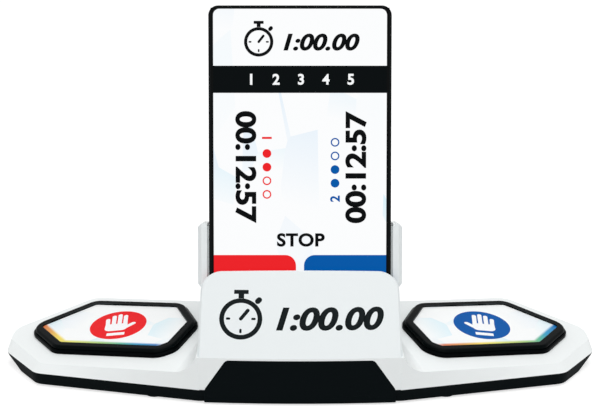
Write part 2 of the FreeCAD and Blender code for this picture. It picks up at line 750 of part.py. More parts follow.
def make_lower_shell():
    """Black tray: undercut sides, raised front tongue, guides, seats, saddles and bosses."""
    drop = D.parting_z - D.foot_height
    outer = extrude("tray_outer", lifted("tray_base", base_outline, D.parting_z), drop,
                    direction=(0, 0, -1), taper=-D.base_draft)
    hollow = extrude("tray_hollow", lifted("tray_hollow_base", inner_outline, D.parting_z + 0.01),
                     D.parting_z - floor_top, direction=(0, 0, -1), taper=-D.base_draft)
    tilt = App.Rotation(App.Vector(0, 1, 0), D.tip_undercut.value)
    lip = App.Vector(*numbers(wing_tip_x - D.tip_set, 0, D.parting_z - D.tip_lip))
    tip_edge = App.Placement(lip, tilt)
    tip_cut = box("tip_cut_right", (0, -BIG, -BIG), (BIG, BIG, BIG), tip_edge)
    nose = bowed(
        "nose_block",
        [
            (D.base_front, D.foot_height),
            (D.base_front + NOSE_RISE, D.tongue_top_z - D.tongue_gap),
            (D.base_front + NOSE_RISE + D.wall, D.tongue_top_z - D.tongue_gap),
            (D.base_front + NOSE_STEP + D.wall, D.parting_z),
            (D.base_front + NOSE_DEPTH, D.parting_z),
            (D.base_front + NOSE_DEPTH, D.foot_height),
        ],
        D.tongue_low,
        D.bow_radius,
    )
    front_view = extrude("tongue_prism", tongue_outline("tongue_shape", D.tongue_gap), 20.0,
                         direction=(0, 1, 0))
    front_view.Placement = App.Placement(App.Vector(*numbers(0, D.base_front - 5, 0)), App.Rotation())
    under = box("nose_under", (-D.tongue_low, -BIG, -BIG), (D.tongue_low, BIG, D.parting_z))
    tongue = common("tongue", nose, fuse("tongue_view", front_view, under))
    tray = cut("tray", fuse("tray_solid", outer, tongue), tip_cut, mirrored("tip_cut_left", tip_cut))
    nose_room = box("nose_room", (-D.tongue_low + D.wall, D.base_front + NOSE_STEP + D.wall, floor_top),
                    (D.tongue_low - D.wall, 0, D.parting_z + 1))
    tray = cut("tray_open", tray, hollow, nose_room)

    extras = []
    drills = []
    for i, (x, y) in enumerate(both_sides(BOSSES)):
        low = D.foot_height
        extras.append(cylinder(f"lower_post_{i}", (x, y, low), D.boss_r, D.parting_z + 0.9 - low))
        drills.append(cylinder(f"screw_clear_{i}", (x, y, low), D.screw_r + 0.2, 9.0))
        drills.append(cylinder(f"screw_sink_{i}", (x, y, low - 1), D.screw_head_r + 0.3,
                               D.screw_head + 1.5))
    for i, (x, y) in enumerate(both_sides(CRADLE_SCREWS)):
        drills.append(cylinder(f"cradle_clear_{i}", (x, y, 0), D.screw_r + 0.2, 9.0))
        drills.append(cylinder(f"cradle_sink_{i}", (x, y, 0), D.screw_head_r + 0.3,
                               screw_seat + D.screw_head))
    for i, (x, y) in enumerate(both_sides(FEET)):
        drills.append(cylinder(f"foot_seat_{i}", (x, y, 0), D.foot_r, D.foot_height + D.foot_seat))

    seat_parts = []
    guide_drills = []
    for i, (sx, sy) in enumerate(((1, 1), (1, -1), (-1, 1), (-1, -1))):
        spot = (sx * D.guide_x, sy * D.guide_y, as_size(-GUIDE_DEPTH))
        rise = GUIDE_DEPTH - D.cap_skirt - D.pad_travel - 0.4
        outer_r = D.guide_pin_r + D.guide_gap + D.guide_wall
        seat_parts.append(cylinder(f"guide_tube_{i}", spot, outer_r, rise, WING))
        bore = (spot[0], spot[1], as_size(-7.6))
        guide_drills.append(cylinder(f"guide_bore_{i}", bore, D.guide_pin_r + D.guide_gap, 9.0, WING))
    seat_r = D.spring_r + D.spring_wire_r + 1.0
    seat_rise = GUIDE_DEPTH - D.spring_seat
    seat_parts.append(cylinder("spring_seat", (0, 0, -GUIDE_DEPTH), seat_r, seat_rise, WING))
    post_r = D.spring_r - D.spring_wire_r - 0.5
    seat_parts.append(cylinder("spring_post", (0, 0, -GUIDE_DEPTH), post_r, seat_rise + 2.5, WING))
    buried = box("below_floor", (-BIG, -BIG, -BIG), (BIG, BIG, D.foot_height + 0.5))
    seats = cut("pad_seats", fuse("pad_seat_parts", *seat_parts), buried)
    extras += [seats, mirrored("pad_seats_left", seats)]
    guides = fuse("guide_bores", *guide_drills)
    drills += [guides, mirrored("guide_bores_left", guides)]

    extras.append(box("cradle_plinth", (-PLINTH_HALF, PLINTH_FRONT, D.foot_height + 0.5),
                      (PLINTH_HALF, PLINTH_BACK, plinth_top)))
    for name, x in (("inner", saddle_inner), ("outer", saddle_outer)):
        low = (x, D.pivot_y - 3.0, D.foot_height + 0.5)
        high = (x + saddle_thick, D.pivot_y + 3.0, D.pivot_z + D.hub_r)
        saddle = box(f"saddle_{name}", low, high)
        extras += [saddle, mirrored(f"saddle_{name}_left", saddle)]
    pin = cylinder("pin_seat", (saddle_inner, D.pivot_y, D.pivot_z), D.pin_r,
                   saddle_outer + saddle_thick - saddle_inner, axis=(1, 0, 0))
    drills += [pin, mirrored("pin_seat_left", pin)]
    whole = fuse("tray_fitted", tray, *extras)
    return finish("lower_shell", cut("lower_shell", whole, fuse("tray_drills", *drills)))


# ---------------------------------------------------------------- fascia
fascia_face = (D.fascia_top_z - D.crease_z) / cosine(D.fascia_lean)


def make_fascia():
    """Sloping front hood: bowed face with rounded upper corners and two side returns."""
    lip = D.fascia_wall / cosine(D.fascia_lean)
    rear = D.core_back
    outer = bowed(
        "hood_block",
        [
            (crease_y, D.crease_z),
            (fascia_top_y, D.fascia_top_z),
            (fascia_top_y + lip, D.fascia_top_z),
            (rear, D.fascia_top_z),
            (rear, D.crease_z),
        ],
        core_half,
        D.bow_radius,
    )
    inner = bowed(
        "hood_room",
        [
            (crease_y + lip, D.crease_z),
            (fascia_top_y + lip + tangent(D.fascia_lean), D.fascia_top_z + 1),
            (rear + 5, D.fascia_top_z + 1),
            (rear + 5, D.crease_z - 1),
            (crease_y + lip, D.crease_z - 1),
        ],
        core_inner,
        D.bow_radius,
    )
    arm_room = box("hood_arm_room", (-BIG, -2.4, D.arm_foot - 0.5), (BIG, BIG, BIG), CRADLE)
    face = polygon(
        "fascia_polygon",
        [
            (-core_half, -40.0),
            (core_half, -40.0),
            (core_half, fascia_face),
            (-core_half, fascia_face),
        ],
    )
    view = extrude("fascia_view", rounded("fascia_rounded", face, D.fascia_corner), 30.0, 60.0)
    view.Placement = FASCIA
    hood = common("hood", cut("hood_open", outer, inner, arm_room), view)
    back_to_face = FASCIA.inverse()
    low = fascia_face.value - D.fascia_corner.value - 0.1

    def upper_rim(edge):
        middle = back_to_face.multVec(edge.BoundBox.Center)
        flat = edge.BoundBox.DiagonalLength > 1 and middle.z > -1.6
        return flat and middle.y > low

    return finish("front_fascia", soften("hood_lipped", hood, D.fascia_lip, upper_rim, "Part::Chamfer"))


# ---------------------------------------------------------------- cradle
phone_half = D.phone_width / 2
backrest_y = D.phone_thick + D.back_gap
gearbox_y = backrest_y + D.backrest_thick
cover_y = gearbox_y + D.gearbox_depth
backrest_half = phone_half - D.backrest_inset
ledge_top = -D.rest_pad
ledge_foot = ledge_top - D.ledge_thick
rack_y = gearbox_y + D.rack_gap
pitch_r = D.gear_module * D.gear_teeth / 2
spring_z = D.gear_z - pitch_r - D.rack_height - 1.6
housing_foot = spring_z - D.gearbox_foot


CRADLE_GRIP = 2.6
COVER_SCREWS = [(backrest_half - 6.5, D.gear_z + 7.0), (-backrest_half + 6.5, D.gear_z - 7.0)]
COVER_SCREW_R = 0.9
SPRING_ANCHOR = 18.0


def make_cradle():
    """Phone cradle: ledge with front lip, backrest and the open box for the two racks."""
    plate = box("backrest", (-backrest_half, backrest_y, ledge_foot),
                (backrest_half, gearbox_y, D.backrest_top))
    ledge = box("ledge", (-core_inner + 0.3, -D.lip_thick - 0.4, ledge_foot),
                (core_inner - 0.3, gearbox_y, ledge_top))
    lip = box("ledge_lip", (-core_inner + 0.3, -D.lip_thick - 0.4, ledge_top),
              (core_inner - 0.3, as_size(-0.4), D.lip_height))
    rim = box("gearbox", (-backrest_half, gearbox_y, housing_foot),
              (backrest_half, cover_y, D.backrest_top))
    room = box("gearbox_room", (-backrest_half + D.housing_wall, gearbox_y, housing_foot + D.housing_wall),
               (backrest_half - D.housing_wall, cover_y + 1, D.backrest_top - D.housing_wall))
    slots = []
    for name, side, low, high in rack_slots():
        inner = side * (backrest_half - D.housing_wall - 1)
        outer = side * (backrest_half + 1)
        first, second = (inner, outer) if side > 0 else (outer, inner)
        slots.append(box(f"slot_{name}", (first, rack_y - 0.2, low - 0.3),
                         (second, cover_y + 1, high + 0.3)))
    bosses = [cylinder(f"cover_boss_{i}", (x, gearbox_y - 0.5, z), 2.4, D.gearbox_depth + 0.5,
                       axis=(0, 1, 0)) for i, (x, z) in enumerate(COVER_SCREWS)]
    pilots = [cylinder(f"cover_pilot_{i}", (x, cover_y - 4.2, z), COVER_SCREW_R, 5.0, axis=(0, 1, 0))
              for i, (x, z) in enumerate(COVER_SCREWS)]
    peg = cylinder("spring_peg", (-SPRING_ANCHOR, gearbox_y - 0.5, spring_z), 0.7, D.gearbox_depth - 1,
                   axis=(0, 1, 0))
    stud_seat = cylinder("stud_seat", (0, backrest_y, D.gear_z), D.gear_pin_r,
                         D.backrest_thick + 1, axis=(0, 1, 0))
    ribs = [box(f"back_rib_{i}", (as_size(x - 0.8), gearbox_y - 0.5, ledge_foot),
                (as_size(x + 0.8), gearbox_y + 2.0, housing_foot + 0.5))
            for i, x in enumerate((-24.0, -8.0, 8.0, 24.0))]
    frame = fuse("cradle_frame", plate, ledge, lip, cut("gearbox_frame", rim, room, *slots), *bosses,
                 peg, *ribs)
    frame = cut("cradle_drilled", frame, stud_seat, *pilots)
    frame.Placement = CRADLE
    foot = box("cradle_foot", (-PLINTH_HALF, PLINTH_FRONT, plinth_top),
               (PLINTH_HALF, PLINTH_BACK, plinth_top + 9.0))
    slab = box("ledge_space", (-BIG, -BIG, ledge_foot + 0.4), (BIG, BIG, BIG), CRADLE)
    grips = [cylinder(f"cradle_pilot_{i}", (x, y, plinth_top - 1), D.screw_r, 1 + CRADLE_GRIP + 0.2)
              for i, (x, y) in enumerate(both_sides(CRADLE_SCREWS))]
    foot = cut("cradle_pedestal", foot, slab)
    whole = fuse("cradle_whole", frame, foot)
    return finish("phone_cradle", cut("phone_cradle", whole, *grips))


def rack_slots():
    """Return for each arm: name, side, and the lowest and highest reach of its rack bar."""
    upper = D.gear_z + pitch_r
    lower = D.gear_z - pitch_r
    return (
        ("right", 1, lower - D.rack_height, lower + D.gear_module),
        ("left", -1, upper - D.gear_module, upper + D.rack_height),
    )


def make_rear_cover():
    """Flat cover that closes the rack housing, with a rounded edge."""
    plate = box("rear_cover_plate", (-backrest_half, cover_y, housing_foot),
                (backrest_half, cover_y + D.cover_thick, D.backrest_top))
    edge = cover_y + D.cover_thick - 0.1
    plate = soften("rear_cover_soft", plate, 0.8,
                   lambda item: item.BoundBox.YMin > edge.value, "Part::Chamfer")
    drills = []
    for i, (x, z) in enumerate(COVER_SCREWS):
        drills.append(cylinder(f"cover_clear_{i}", (x, cover_y - 1, z), COVER_SCREW_R + 0.15,
                               D.cover_thick + 2, axis=(0, 1, 0)))
        drills.append(cylinder(f"cover_sink_{i}", (x, cover_y + 0.7, z), 2.0, D.cover_thick,
                               axis=(0, 1, 0)))
    finish("cradle_rear_cover", cut("cradle_rear_cover", plate, *drills), CRADLE)
    screws = []
    for i, (x, z) in enumerate(COVER_SCREWS):
        head = cylinder(f"cover_head_{i}", (x, cover_y + 0.7, z), 1.8, 0.9, axis=(0, 1, 0))
        shank = cylinder(f"cover_shank_{i}", (x, cover_y - 4.0, z), COVER_SCREW_R, 5.0, axis=(0, 1, 0))
        low = (x - 0.25, cover_y + 1.1, z - 1.1)
        cross = [
            box(f"cover_cross_{i}_a", low, (x + 0.25, cover_y + 3, z + 1.1)),
            box(f"cover_cross_{i}_b", (x - 1.1, cover_y + 1.1, z - 0.25), (x + 1.1, cover_y + 3, z + 0.25)),
        ]
        screws.append(cut(f"cover_screw_{i}", fuse(f"cover_blank_{i}", head, shank), *cross))
    group = doc.addObject("Part::Compound", "cover_screws")
    group.Links = screws
    return finish("cover_screws", group, CRADLE)


SPRING_BODY = 22.0
SPRING_COILS = 10


def flat_face(points):
    """Return the flat face inside some corners."""
    return Part.Face(Part.makePolygon(points + points[:1]))


def make_centring_spring():
    """Close-wound tension spring that draws the right arm in, an eye at each end."""
    reach = (D.arm_peg + SPRING_ANCHOR).value
    lead = (reach - SPRING_BODY) / 2
    rings = []
    for i in range(2 * SPRING_COILS + 1):
        radius = 0.75 if i % 2 == 0 else 1.15
        x = lead + SPRING_BODY * i / (2 * SPRING_COILS)
        rings.append([App.Vector(x, radius * math.cos(k * math.pi / 4), radius * math.sin(k * math.pi / 4))
                      for k in range(8)])
    faces = [flat_face(rings[0][::-1]), flat_face(rings[-1])]
    for near, far in zip(rings, rings[1:]):
        for k in range(8):
            faces.append(flat_face([near[k - 1], near[k], far[k], far[k - 1]]))
    windings = doc.addObject("Part::Feature", "windings")
    windings.Shape = Part.makeSolid(Part.Shell(faces))
    pieces = [windings]
    for i, x in enumerate((0.0, reach)):
        ring = cylinder(f"spring_eye_{i}", (as_size(x), as_size(-0.35), 0), 1.4, 0.7, axis=(0, 1, 0))
        hole = cylinder(f"spring_eye_hole_{i}", (as_size(x), as_size(-1), 0), 0.85, 2.0, axis=(0, 1, 0))
        pieces.append(cut(f"spring_loop_{i}", ring, hole))
        start = 1.0 if i == 0 else lead + SPRING_BODY - 0.5
        pieces.append(cylinder(f"spring_shank_{i}", (as_size(start), 0, 0), 0.3, lead - 0.5,
                               axis=(1, 0, 0)))
    spring = fuse("centring_spring", *pieces)
    spot = App.Placement(App.Vector(*numbers(-SPRING_ANCHOR, gearbox_y + 2.2, spring_z)), App.Rotation())
    finish("centring_spring", spring, CRADLE.multiply(spot))


def make_rest_pads():
    """Rubber strip under the phone and two strips on the backrest."""
    strip = box("rest_strip", (-phone_half + 3, as_size(0.4), ledge_top),
                (phone_half - 3, D.phone_thick - 0.4, as_size(-0.02)))
    finish("phone_rest_pad", strip, CRADLE.multiply(strip.Placement))
    pads = []
    for side in (-1, 1):
        first = side * (backrest_half - 8) - 3
        pads.append(box(f"back_strip_{side + 1}", (first, D.phone_thick + 0.1, 6.0),
                        (first + 6, backrest_y, D.backrest_top - 4)))
    group = doc.addObject("Part::Compound", "backrest_pads")
    group.Links = pads
    return finish("backrest_pads", group, CRADLE)


# ---------------------------------------------------------------- racks and pinion
GEAR_PLAY = 0.06


def rack_teeth(side):
    """Return the places of a rack's tooth gaps along X."""
    pitch = math.pi * D.gear_module.value
    count = int((D.rack_reach.value - 2.0) / pitch)
    return [side * i * pitch for i in range(-count, count + 3)]


def make_arm(name, side, low, high):
    """Centring arm: cheek beside the phone and a toothed bar that runs behind the backrest."""
    near = phone_half + D.arm_liner
    far = near + D.arm_cheek
    depth = rack_y + D.rack_thick
    cheek_x = (near, far) if side > 0 else (-far, -near)
    cheek = box(f"cheek_{name}", (cheek_x[0], -D.arm_front, D.arm_foot),
                (cheek_x[1], depth, D.arm_top))
    outer_x = far.value

    def outer_edge(edge):
        bounds = edge.BoundBox
        return min(abs(bounds.XMin), abs(bounds.XMax)) > outer_x - 0.01

    cheek = soften(f"cheek_soft_{name}", cheek, D.arm_bevel, outer_edge, "Part::Chamfer")
    bar_x = (-D.rack_reach, near + 1) if side > 0 else (-near - 1, D.rack_reach)
    bar = box(f"bar_{name}", (bar_x[0], rack_y, low), (bar_x[1], depth, high))
    # tooth gaps: straight-sided 20 degree spaces along the bar
    module = D.gear_module.value
    pitch_z = high.value - module if side > 0 else low.value + module
    way = 1 if side > 0 else -1
    lean = math.tan(math.radians(20))
    half_gap = math.pi * module / 4 + GEAR_PLAY
    deep = 1.25 * module
    tall = 1.5 * module
    gaps = []
    for x in rack_teeth(side):
        corners = [
            (x - half_gap + deep * lean, -deep),
            (x + half_gap - deep * lean, -deep),
            (x + half_gap + tall * lean, tall),
            (x - half_gap - tall * lean, tall),
        ]
        points = [App.Vector(px, rack_y.value - 1, pitch_z + way * pz) for px, pz in corners]
        gaps.append(flat_face(points).extrude(App.Vector(0, depth.value - rack_y.value + 2, 0)))
    teeth = doc.addObject("Part::Feature", f"tooth_gaps_{name}")
    teeth.Shape = Part.makeCompound(gaps)
    bar = cut(f"rack_{name}", bar, teeth)
    pieces = [cheek, bar]
    if side > 0:
        pieces.append(box("peg_root", (D.arm_peg - 1.0, rack_y, spring_z - 1.0),
                          (D.arm_peg + 1.0, rack_y + 1.0, low + 0.5)))
        pieces.append(cylinder("arm_spring_peg", (D.arm_peg, rack_y, spring_z), 0.7, D.rack_thick,
                               axis=(0, 1, 0)))
    arm = fuse(f"centring_arm_{name}", *pieces)
    finish(f"centring_arm_{name}", arm, CRADLE)
    liner_x = (phone_half, near) if side > 0 else (-near, -phone_half)
    liner = box(f"liner_{name}", (liner_x[0], as_size(0.6), D.arm_foot + 1.0),
                (liner_x[1], D.phone_thick - 0.6, D.arm_top - 1.2))
    finish(f"arm_liner_{name}", liner, CRADLE.multiply(liner.Placement))


def involute(base_radius, angle):
    """Return the point of an involute at an unrolling angle."""
    return (
        base_radius * (math.cos(angle) + angle * math.sin(angle)),
        base_radius * (math.sin(angle) - angle * math.cos(angle)),
    )


def gear_profile(module, teeth):
    """Return the closed wire of a 20 degree involute pinion, a tooth pointing along +X."""
    pitch = module * teeth / 2
    base = pitch * math.cos(math.radians(20))
    tip = pitch + module
    root = pitch - 1.25 * module
    last = math.sqrt((tip / base) ** 2 - 1)
    at_pitch = math.tan(math.radians(20)) - math.radians(20)
    half_tooth = math.pi / (2 * teeth) - GEAR_PLAY / pitch
    edges = []
    previous = None
    first = None
    for i in range(teeth):
        turn = 2 * math.pi * i / teeth
        flank = [involute(base, last * k / 5) for k in range(6)]
        lower = [spin(x, -y, turn + half_tooth + at_pitch) for x, y in flank]
        upper = [spin(x, y, turn - half_tooth - at_pitch) for x, y in flank]
        start = spin(root, 0, turn - half_tooth - at_pitch)
        end = spin(root, 0, turn + half_tooth + at_pitch)
        if previous is not None:
            edges.append(Part.LineSegment(previous, start).toShape())
        else:
            first = start
        edges.append(Part.LineSegment(start, upper[0]).toShape())
        for a, b in zip(upper, upper[1:]):
            edges.append(Part.LineSegment(a, b).toShape())
        edges.append(Part.LineSegment(upper[-1], lower[-1]).toShape())
        back = lower[::-1]
        for a, b in zip(back, back[1:]):
            edges.append(Part.LineSegment(a, b).toShape())
        edges.append(Part.LineSegment(back[-1], end).toShape())
        previous = end
    edges.append(Part.LineSegment(previous, first).toShape())
    return Part.Wire(edges)


def spin(x, y, angle):
    """Turn a point of the pinion's plane about its middle."""
    return App.Vector(x * math.cos(angle) - y * math.sin(angle),
                      x * math.sin(angle) + y * math.cos(angle), 0)


def make_pinion():
    """Pinion between the two racks, and the stud that it turns on."""
    teeth = int(D.gear_teeth.value)
    wheel = Part.Face(gear_profile(D.gear_module.value, teeth))
    solid = wheel.extrude(App.Vector(0, 0, D.rack_thick.value))
    bore = Part.makeCylinder(D.gear_pin_r.value + 0.06, D.rack_thick.value + 2, App.Vector(0, 0, -1))
    gear = doc.addObject("Part::Feature", "centring_pinion")
    gear.Shape = solid.cut(bore)
    # a tooth points straight up into a gap of the upper rack
    turn = App.Rotation(App.Vector(1, 0, 0), -90)
    spot = App.Placement(App.Vector(*numbers(0, rack_y, D.gear_z)), turn)
    quarter = App.Placement(App.Vector(0, 0, 0), App.Rotation(App.Vector(0, 0, 1), 90))
    finish("centring_pinion", gear, CRADLE.multiply(spot).multiply(quarter))
    stud = cylinder("pinion_stud", (0, backrest_y, D.gear_z), D.gear_pin_r,
                    cover_y - backrest_y, CRADLE, axis=(0, 1, 0))
    finish("pinion_stud", stud)


# ---------------------------------------------------------------- phone
CAMERA_CORNER = 5.0
LENS_RADIUS = 4.0
LENS_THICK = 0.6
LENS_SPREAD = 5.0


def make_phone():
    """Generic phone: rounded housing, front glass in its pocket, two rear lenses in a raised frame."""
    case = body("phone_housing")
    sketch = body_sketch(case, "phone_front", "XZ_Plane")
    draw_polygon(sketch, [
        (-phone_half, 0), (phone_half, 0), (phone_half, D.phone_length), (-phone_half, D.phone_length),
    ])
    slab = body_feature(case, "Pad", "phone_slab", sketch, Length=D.phone_thick)
    slab.Reversed = True
    doc.recompute()
    corners = [f"Edge{i + 1}" for i, edge in enumerate(slab.Shape.Edges)
               if edge.BoundBox.YLength > D.phone_thick.value - 0.1]
    rounding = case.newObject("PartDesign::Fillet", "phone_corners")
    rounding.Base = (slab, corners)
    bind(rounding, Radius=D.phone_corner)
    doc.recompute()
    rims = [f"Edge{i + 1}" for i, edge in enumerate(rounding.Shape.Edges)
            if edge.BoundBox.YMin > D.phone_thick.value - 0.01]
    edge = case.newObject("PartDesign::Fillet", "phone_edges")
    edge.Base = (rounding, rims)
    bind(edge, Radius=D.phone_edge)
    doc.recompute()
    pocket_sketch = body_sketch(case, "glass_outline", "XZ_Plane")
    rim = D.phone_rim
    draw_polygon(pocket_sketch, [
        (rim - phone_half, rim), (phone_half - rim, rim),
        (phone_half - rim, D.phone_length - rim), (rim - phone_half, D.phone_length - rim),
    ])
    pocket = body_feature(case, "Pocket", "glass_pocket", pocket_sketch, Length=D.glass_thick)
    doc.recompute()
    if abs(pocket.Shape.Volume - edge.Shape.Volume) < 1:
        pocket.Reversed = True
        doc.recompute()
    side = D.camera_side / 2
    frame = polygon("camera_frame_polygon", [(-side, -side), (side, -side), (side, side), (-side, side)],
                    ON_XZ)
    frame = extrude("camera_frame", rounded("camera_frame_outline", frame, as_size(CAMERA_CORNER)),
                    D.camera_rise + 0.5, direction=(0, 1, 0))
    place = (phone_half - side - 4.0, D.phone_length - side - 6.0)
    frame.Placement = App.Placement(App.Vector(*numbers(place[0], D.phone_thick - 0.5, place[1])),
                                    App.Rotation())
    lenses = []
    for i, (x, z) in enumerate(((-LENS_SPREAD, LENS_SPREAD), (LENS_SPREAD, -LENS_SPREAD))):
        spot = (place[0] + x, D.phone_thick + D.camera_rise - LENS_THICK, place[1] + z)
        lenses.append(cylinder(f"lens_{i}", spot, LENS_RADIUS, LENS_THICK, axis=(0, 1, 0)))
        lenses.append(cylinder(f"lens_seat_{i}", spot, LENS_RADIUS + 0.05, 1.0, axis=(0, 1, 0)))
    whole = cut("phone_body_whole", fuse("phone_framed", case, frame), lenses[1], lenses[3])
    finish("phone_body", whole, CRADLE)
    group = doc.addObject("Part::Compound", "camera_glass")
    group.Links = [lenses[0], lenses[2]]
    finish("camera_glass", group, CRADLE)
    glass = box("glass_slab", (rim - phone_half + 0.02, as_size(0), rim + 0.02),
                (phone_half - rim - 0.02, D.glass_thick, D.phone_length - rim - 0.02))
    finish("phone_glass", glass, CRADLE.multiply(glass.Placement))


# ---------------------------------------------------------------- pads
# actuator post under the inner end of the cap, over the lever's rear arm
actuator_local = (5.0 - pad_in, as_size(1.0))
actuator_low = as_size(-1.8)


def make_pads():
    """Pressed pads: cap with skirt, guide pins and actuator post; label plate; fixed bezel; spring."""
    plate = at_height("cap_plate_block", cap_outline, -D.cap_skirt, D.cap_height)
    under = offset("cap_under_outline", ring_core, D.ring_round + D.cap_border - D.cap_wall)
    room = at_height("cap_room", under, -D.cap_skirt - 1, D.cap_height - D.cap_plate)
    label_top = D.cap_height - D.label_set
    inlay = at_height("cap_inlay", label_outline, label_top - D.label_thick, D.cap_height + 1)
    top = (D.cap_height - 0.01).value
    softened = soften("cap_softened", plate, D.cap_edge, lambda edge: edge.BoundBox.ZMin > top)
    cap = cut("cap_open", softened, room, inlay)
    ceiling = D.cap_height - D.cap_plate
    pins = []
    reach = ceiling + 5.5
    for i, (sx, sy) in enumerate(((1, 1), (1, -1), (-1, 1), (-1, -1))):
        pins.append(cylinder(f"guide_pin_{i}", (sx * D.guide_x, sy * D.guide_y, as_size(-5.5)),
                             D.guide_pin_r, reach + 0.3))
    post_low = actuator_low
    pins.append(cylinder("actuator_post", (actuator_local[0], actuator_local[1], post_low), 2.2,
                         ceiling - post_low + 0.3))
    cap = fuse("pad_cap_right", cap, *pins)
    finish("pad_cap_right", cap, WING)
    finish("pad_cap_left", mirrored("pad_cap_left", cap))

    label = at_height("pad_label_right", offset("label_fit", label_outline, -0.05, rounded=False),
                      label_top - D.label_thick, label_top)
    finish("pad_label_right", label, WING)
    finish("pad_label_left", mirrored("pad_label_left", label))

    ring = at_height("bezel_block", bezel_outline, as_size(0), D.bezel_height)
    rim_top = (D.bezel_height - 0.01).value
    ring = soften("bezel_soft", ring, D.bezel_edge, lambda edge: edge.BoundBox.ZMin > rim_top,
                  "Part::Chamfer")
    hole = at_height("bezel_hole", bore_outline, as_size(-1), D.bezel_height + 1)
    bezel = cut("pad_bezel_right", ring, hole)
    finish("pad_bezel_right", bezel, WING)
    finish("pad_bezel_left", mirrored("pad_bezel_left", bezel))

    spring = doc.addObject("Part::Feature", "pad_spring_right")
    wire_r = D.spring_wire_r.value
    spring.Shape = coil(D.spring_r.value, wire_r, (D.spring_seat + ceiling).value - 2 * wire_r)
    low = App.Placement(App.Vector(0, 0, wire_r - D.spring_seat.value), App.Rotation())
    finish("pad_spring_right", spring, WING.multiply(low))
    finish("pad_spring_left", mirrored("pad_spring_left", spring))


COIL_TURNS = 3
COIL_SIDES = 12


def coil(radius, wire, height):
    """Return a spring of square wire as a chain of short straight lengths."""
    sections = []
    steps = COIL_TURNS * COIL_SIDES
    for i in range(steps + 1):
        turn = 2 * math.pi * i / COIL_SIDES
        rise = height * i / steps
        points = []
        for out, up in ((wire, wire), (-wire, wire), (-wire, -wire), (wire, -wire)):
            reach = radius + out
            points.append(App.Vector(reach * math.cos(turn), reach * math.sin(turn), rise + up))
        sections.append(Part.makePolygon(points + points[:1]))
    return Part.makeLoft(sections, True, True)


# ---------------------------------------------------------------- touch levers
def make_levers():
    """Bell cranks: the cap presses the rear arm down and the upright swings to the screen."""
    post = WING.multVec(App.Vector(*numbers(actuator_local[0], actuator_local[1], actuator_low)))
    end_y = as_size(post.y)
    end_z = as_size(post.z - 0.1)
    half = D.arm_depth / 2
    hub = cylinder("lever_hub", (hub_start, D.pivot_y, D.pivot_z), D.hub_r, hub_end - hub_start,
                   axis=(1, 0, 0))
    # rear arm, side profile in Y and Z
    rear_sketch = polygon("rear_arm_profile", [
        (D.pivot_y, D.pivot_z - 1.6),
        (D.pivot_y + 8, D.pivot_z - 1.6),
        (end_y + 2.5, end_z - 2.4),
        (end_y + 2.5, end_z - 0.6),
        (end_y + 0.5, end_z),
        (end_y - 1.5, end_z - 0.3),
        (D.pivot_y + 6, D.pivot_z + 1.4),
        (D.pivot_y, D.pivot_z + 1.6),
    ], ON_YZ)
    rear = extrude("rear_arm", rear_sketch, D.lever_thick, direction=(1, 0, 0))
    rear.Placement = App.Placement(App.Vector(post.x - D.lever_thick.value / 2, 0, 0), App.Rotation())
    # upright: dog-leg from the hub to the back of the touch tip
    tip = tip_place()
    top_y = as_size(tip[0]) - D.arm_depth * cosine(D.phone_lean)
    top_z = as_size(tip[1]) + D.arm_depth * sine(D.phone_lean)
    mid_y = D.pivot_y + 5.5
    mid_z = D.pivot_z + 14.0
    up_y = D.tip_r * sine(D.phone_lean)
    up_z = D.tip_r * cosine(D.phone_lean)
    profile = polygon("upright_profile", [
        (D.pivot_y - half, D.pivot_z),
        (D.pivot_y + half + 0.4, D.pivot_z),
        (mid_y + half, mid_z - 0.6),
        (as_size(tip[0]) - up_y, as_size(tip[1]) - up_z),
        (as_size(tip[0]) + up_y, as_size(tip[1]) + up_z),
        (top_y + up_y, top_z + up_z),
        (mid_y - half, mid_z + 0.6),
    ], ON_YZ)
    upright = extrude("upright", profile, D.lever_thick + 1.6, direction=(1, 0, 0))
    upright.Placement = App.Placement(App.Vector(hub_start.value, 0, 0), App.Rotation())
    bore = cylinder("lever_bore", (hub_start - 1, D.pivot_y, D.pivot_z), D.pin_r + D.pin_gap,
                    hub_end - hub_start + 2, axis=(1, 0, 0))
    lever = cut("touch_lever_right", fuse("lever_solid", hub, rear, upright), bore)
    finish("touch_lever_right", lever)
    finish("touch_lever_left", mirrored("touch_lever_left", lever))

    middle_x = hub_start.value + (D.lever_thick.value + 1.6) / 2
    axis = (0, math.cos(math.radians(D.phone_lean.value)), -math.sin(math.radians(D.phone_lean.value)))
    knob = cylinder("touch_tip_blank", (as_size(middle_x), as_size(tip[0]), as_size(tip[1])), D.tip_r,
                    D.tip_length_y, axis=axis)
    end_face = App.Vector(middle_x, tip[0], tip[1]) + App.Vector(*axis) * D.tip_length_y.value
    knob = soften("touch_tip_right", knob, 0.8,
                  lambda edge: near_plane(edge, end_face, App.Vector(*axis)), "Part::Chamfer")
    finish("touch_tip_right", knob)
    finish("touch_tip_left", mirrored("touch_tip_left", knob))

    pin = cylinder("lever_pin_right", (saddle_inner, D.pivot_y, D.pivot_z), D.pin_r,
                   saddle_outer + saddle_thick - saddle_inner, axis=(1, 0, 0))
    finish("lever_pin_right", pin)
    finish("lever_pin_left", mirrored("lever_pin_left", pin))


def near_plane(edge, point, normal):
    """Tell whether a closed edge lies on a plane."""
    middle = edge.BoundBox.Center
    return abs((middle - point).dot(normal)) < 0.01


def tip_place():
    """Return Y and Z of the middle of the tip's back face."""
    lean = math.radians(D.phone_lean.value)
    screen_y = D.phone_foot_y.value + (D.tip_z.value - D.phone_foot_z.value) * math.tan(lean)
    back = D.tip_gap.value + D.tip_length_y.value
    return screen_y - back * math.cos(lean), D.tip_z.value + back * math.sin(lean)


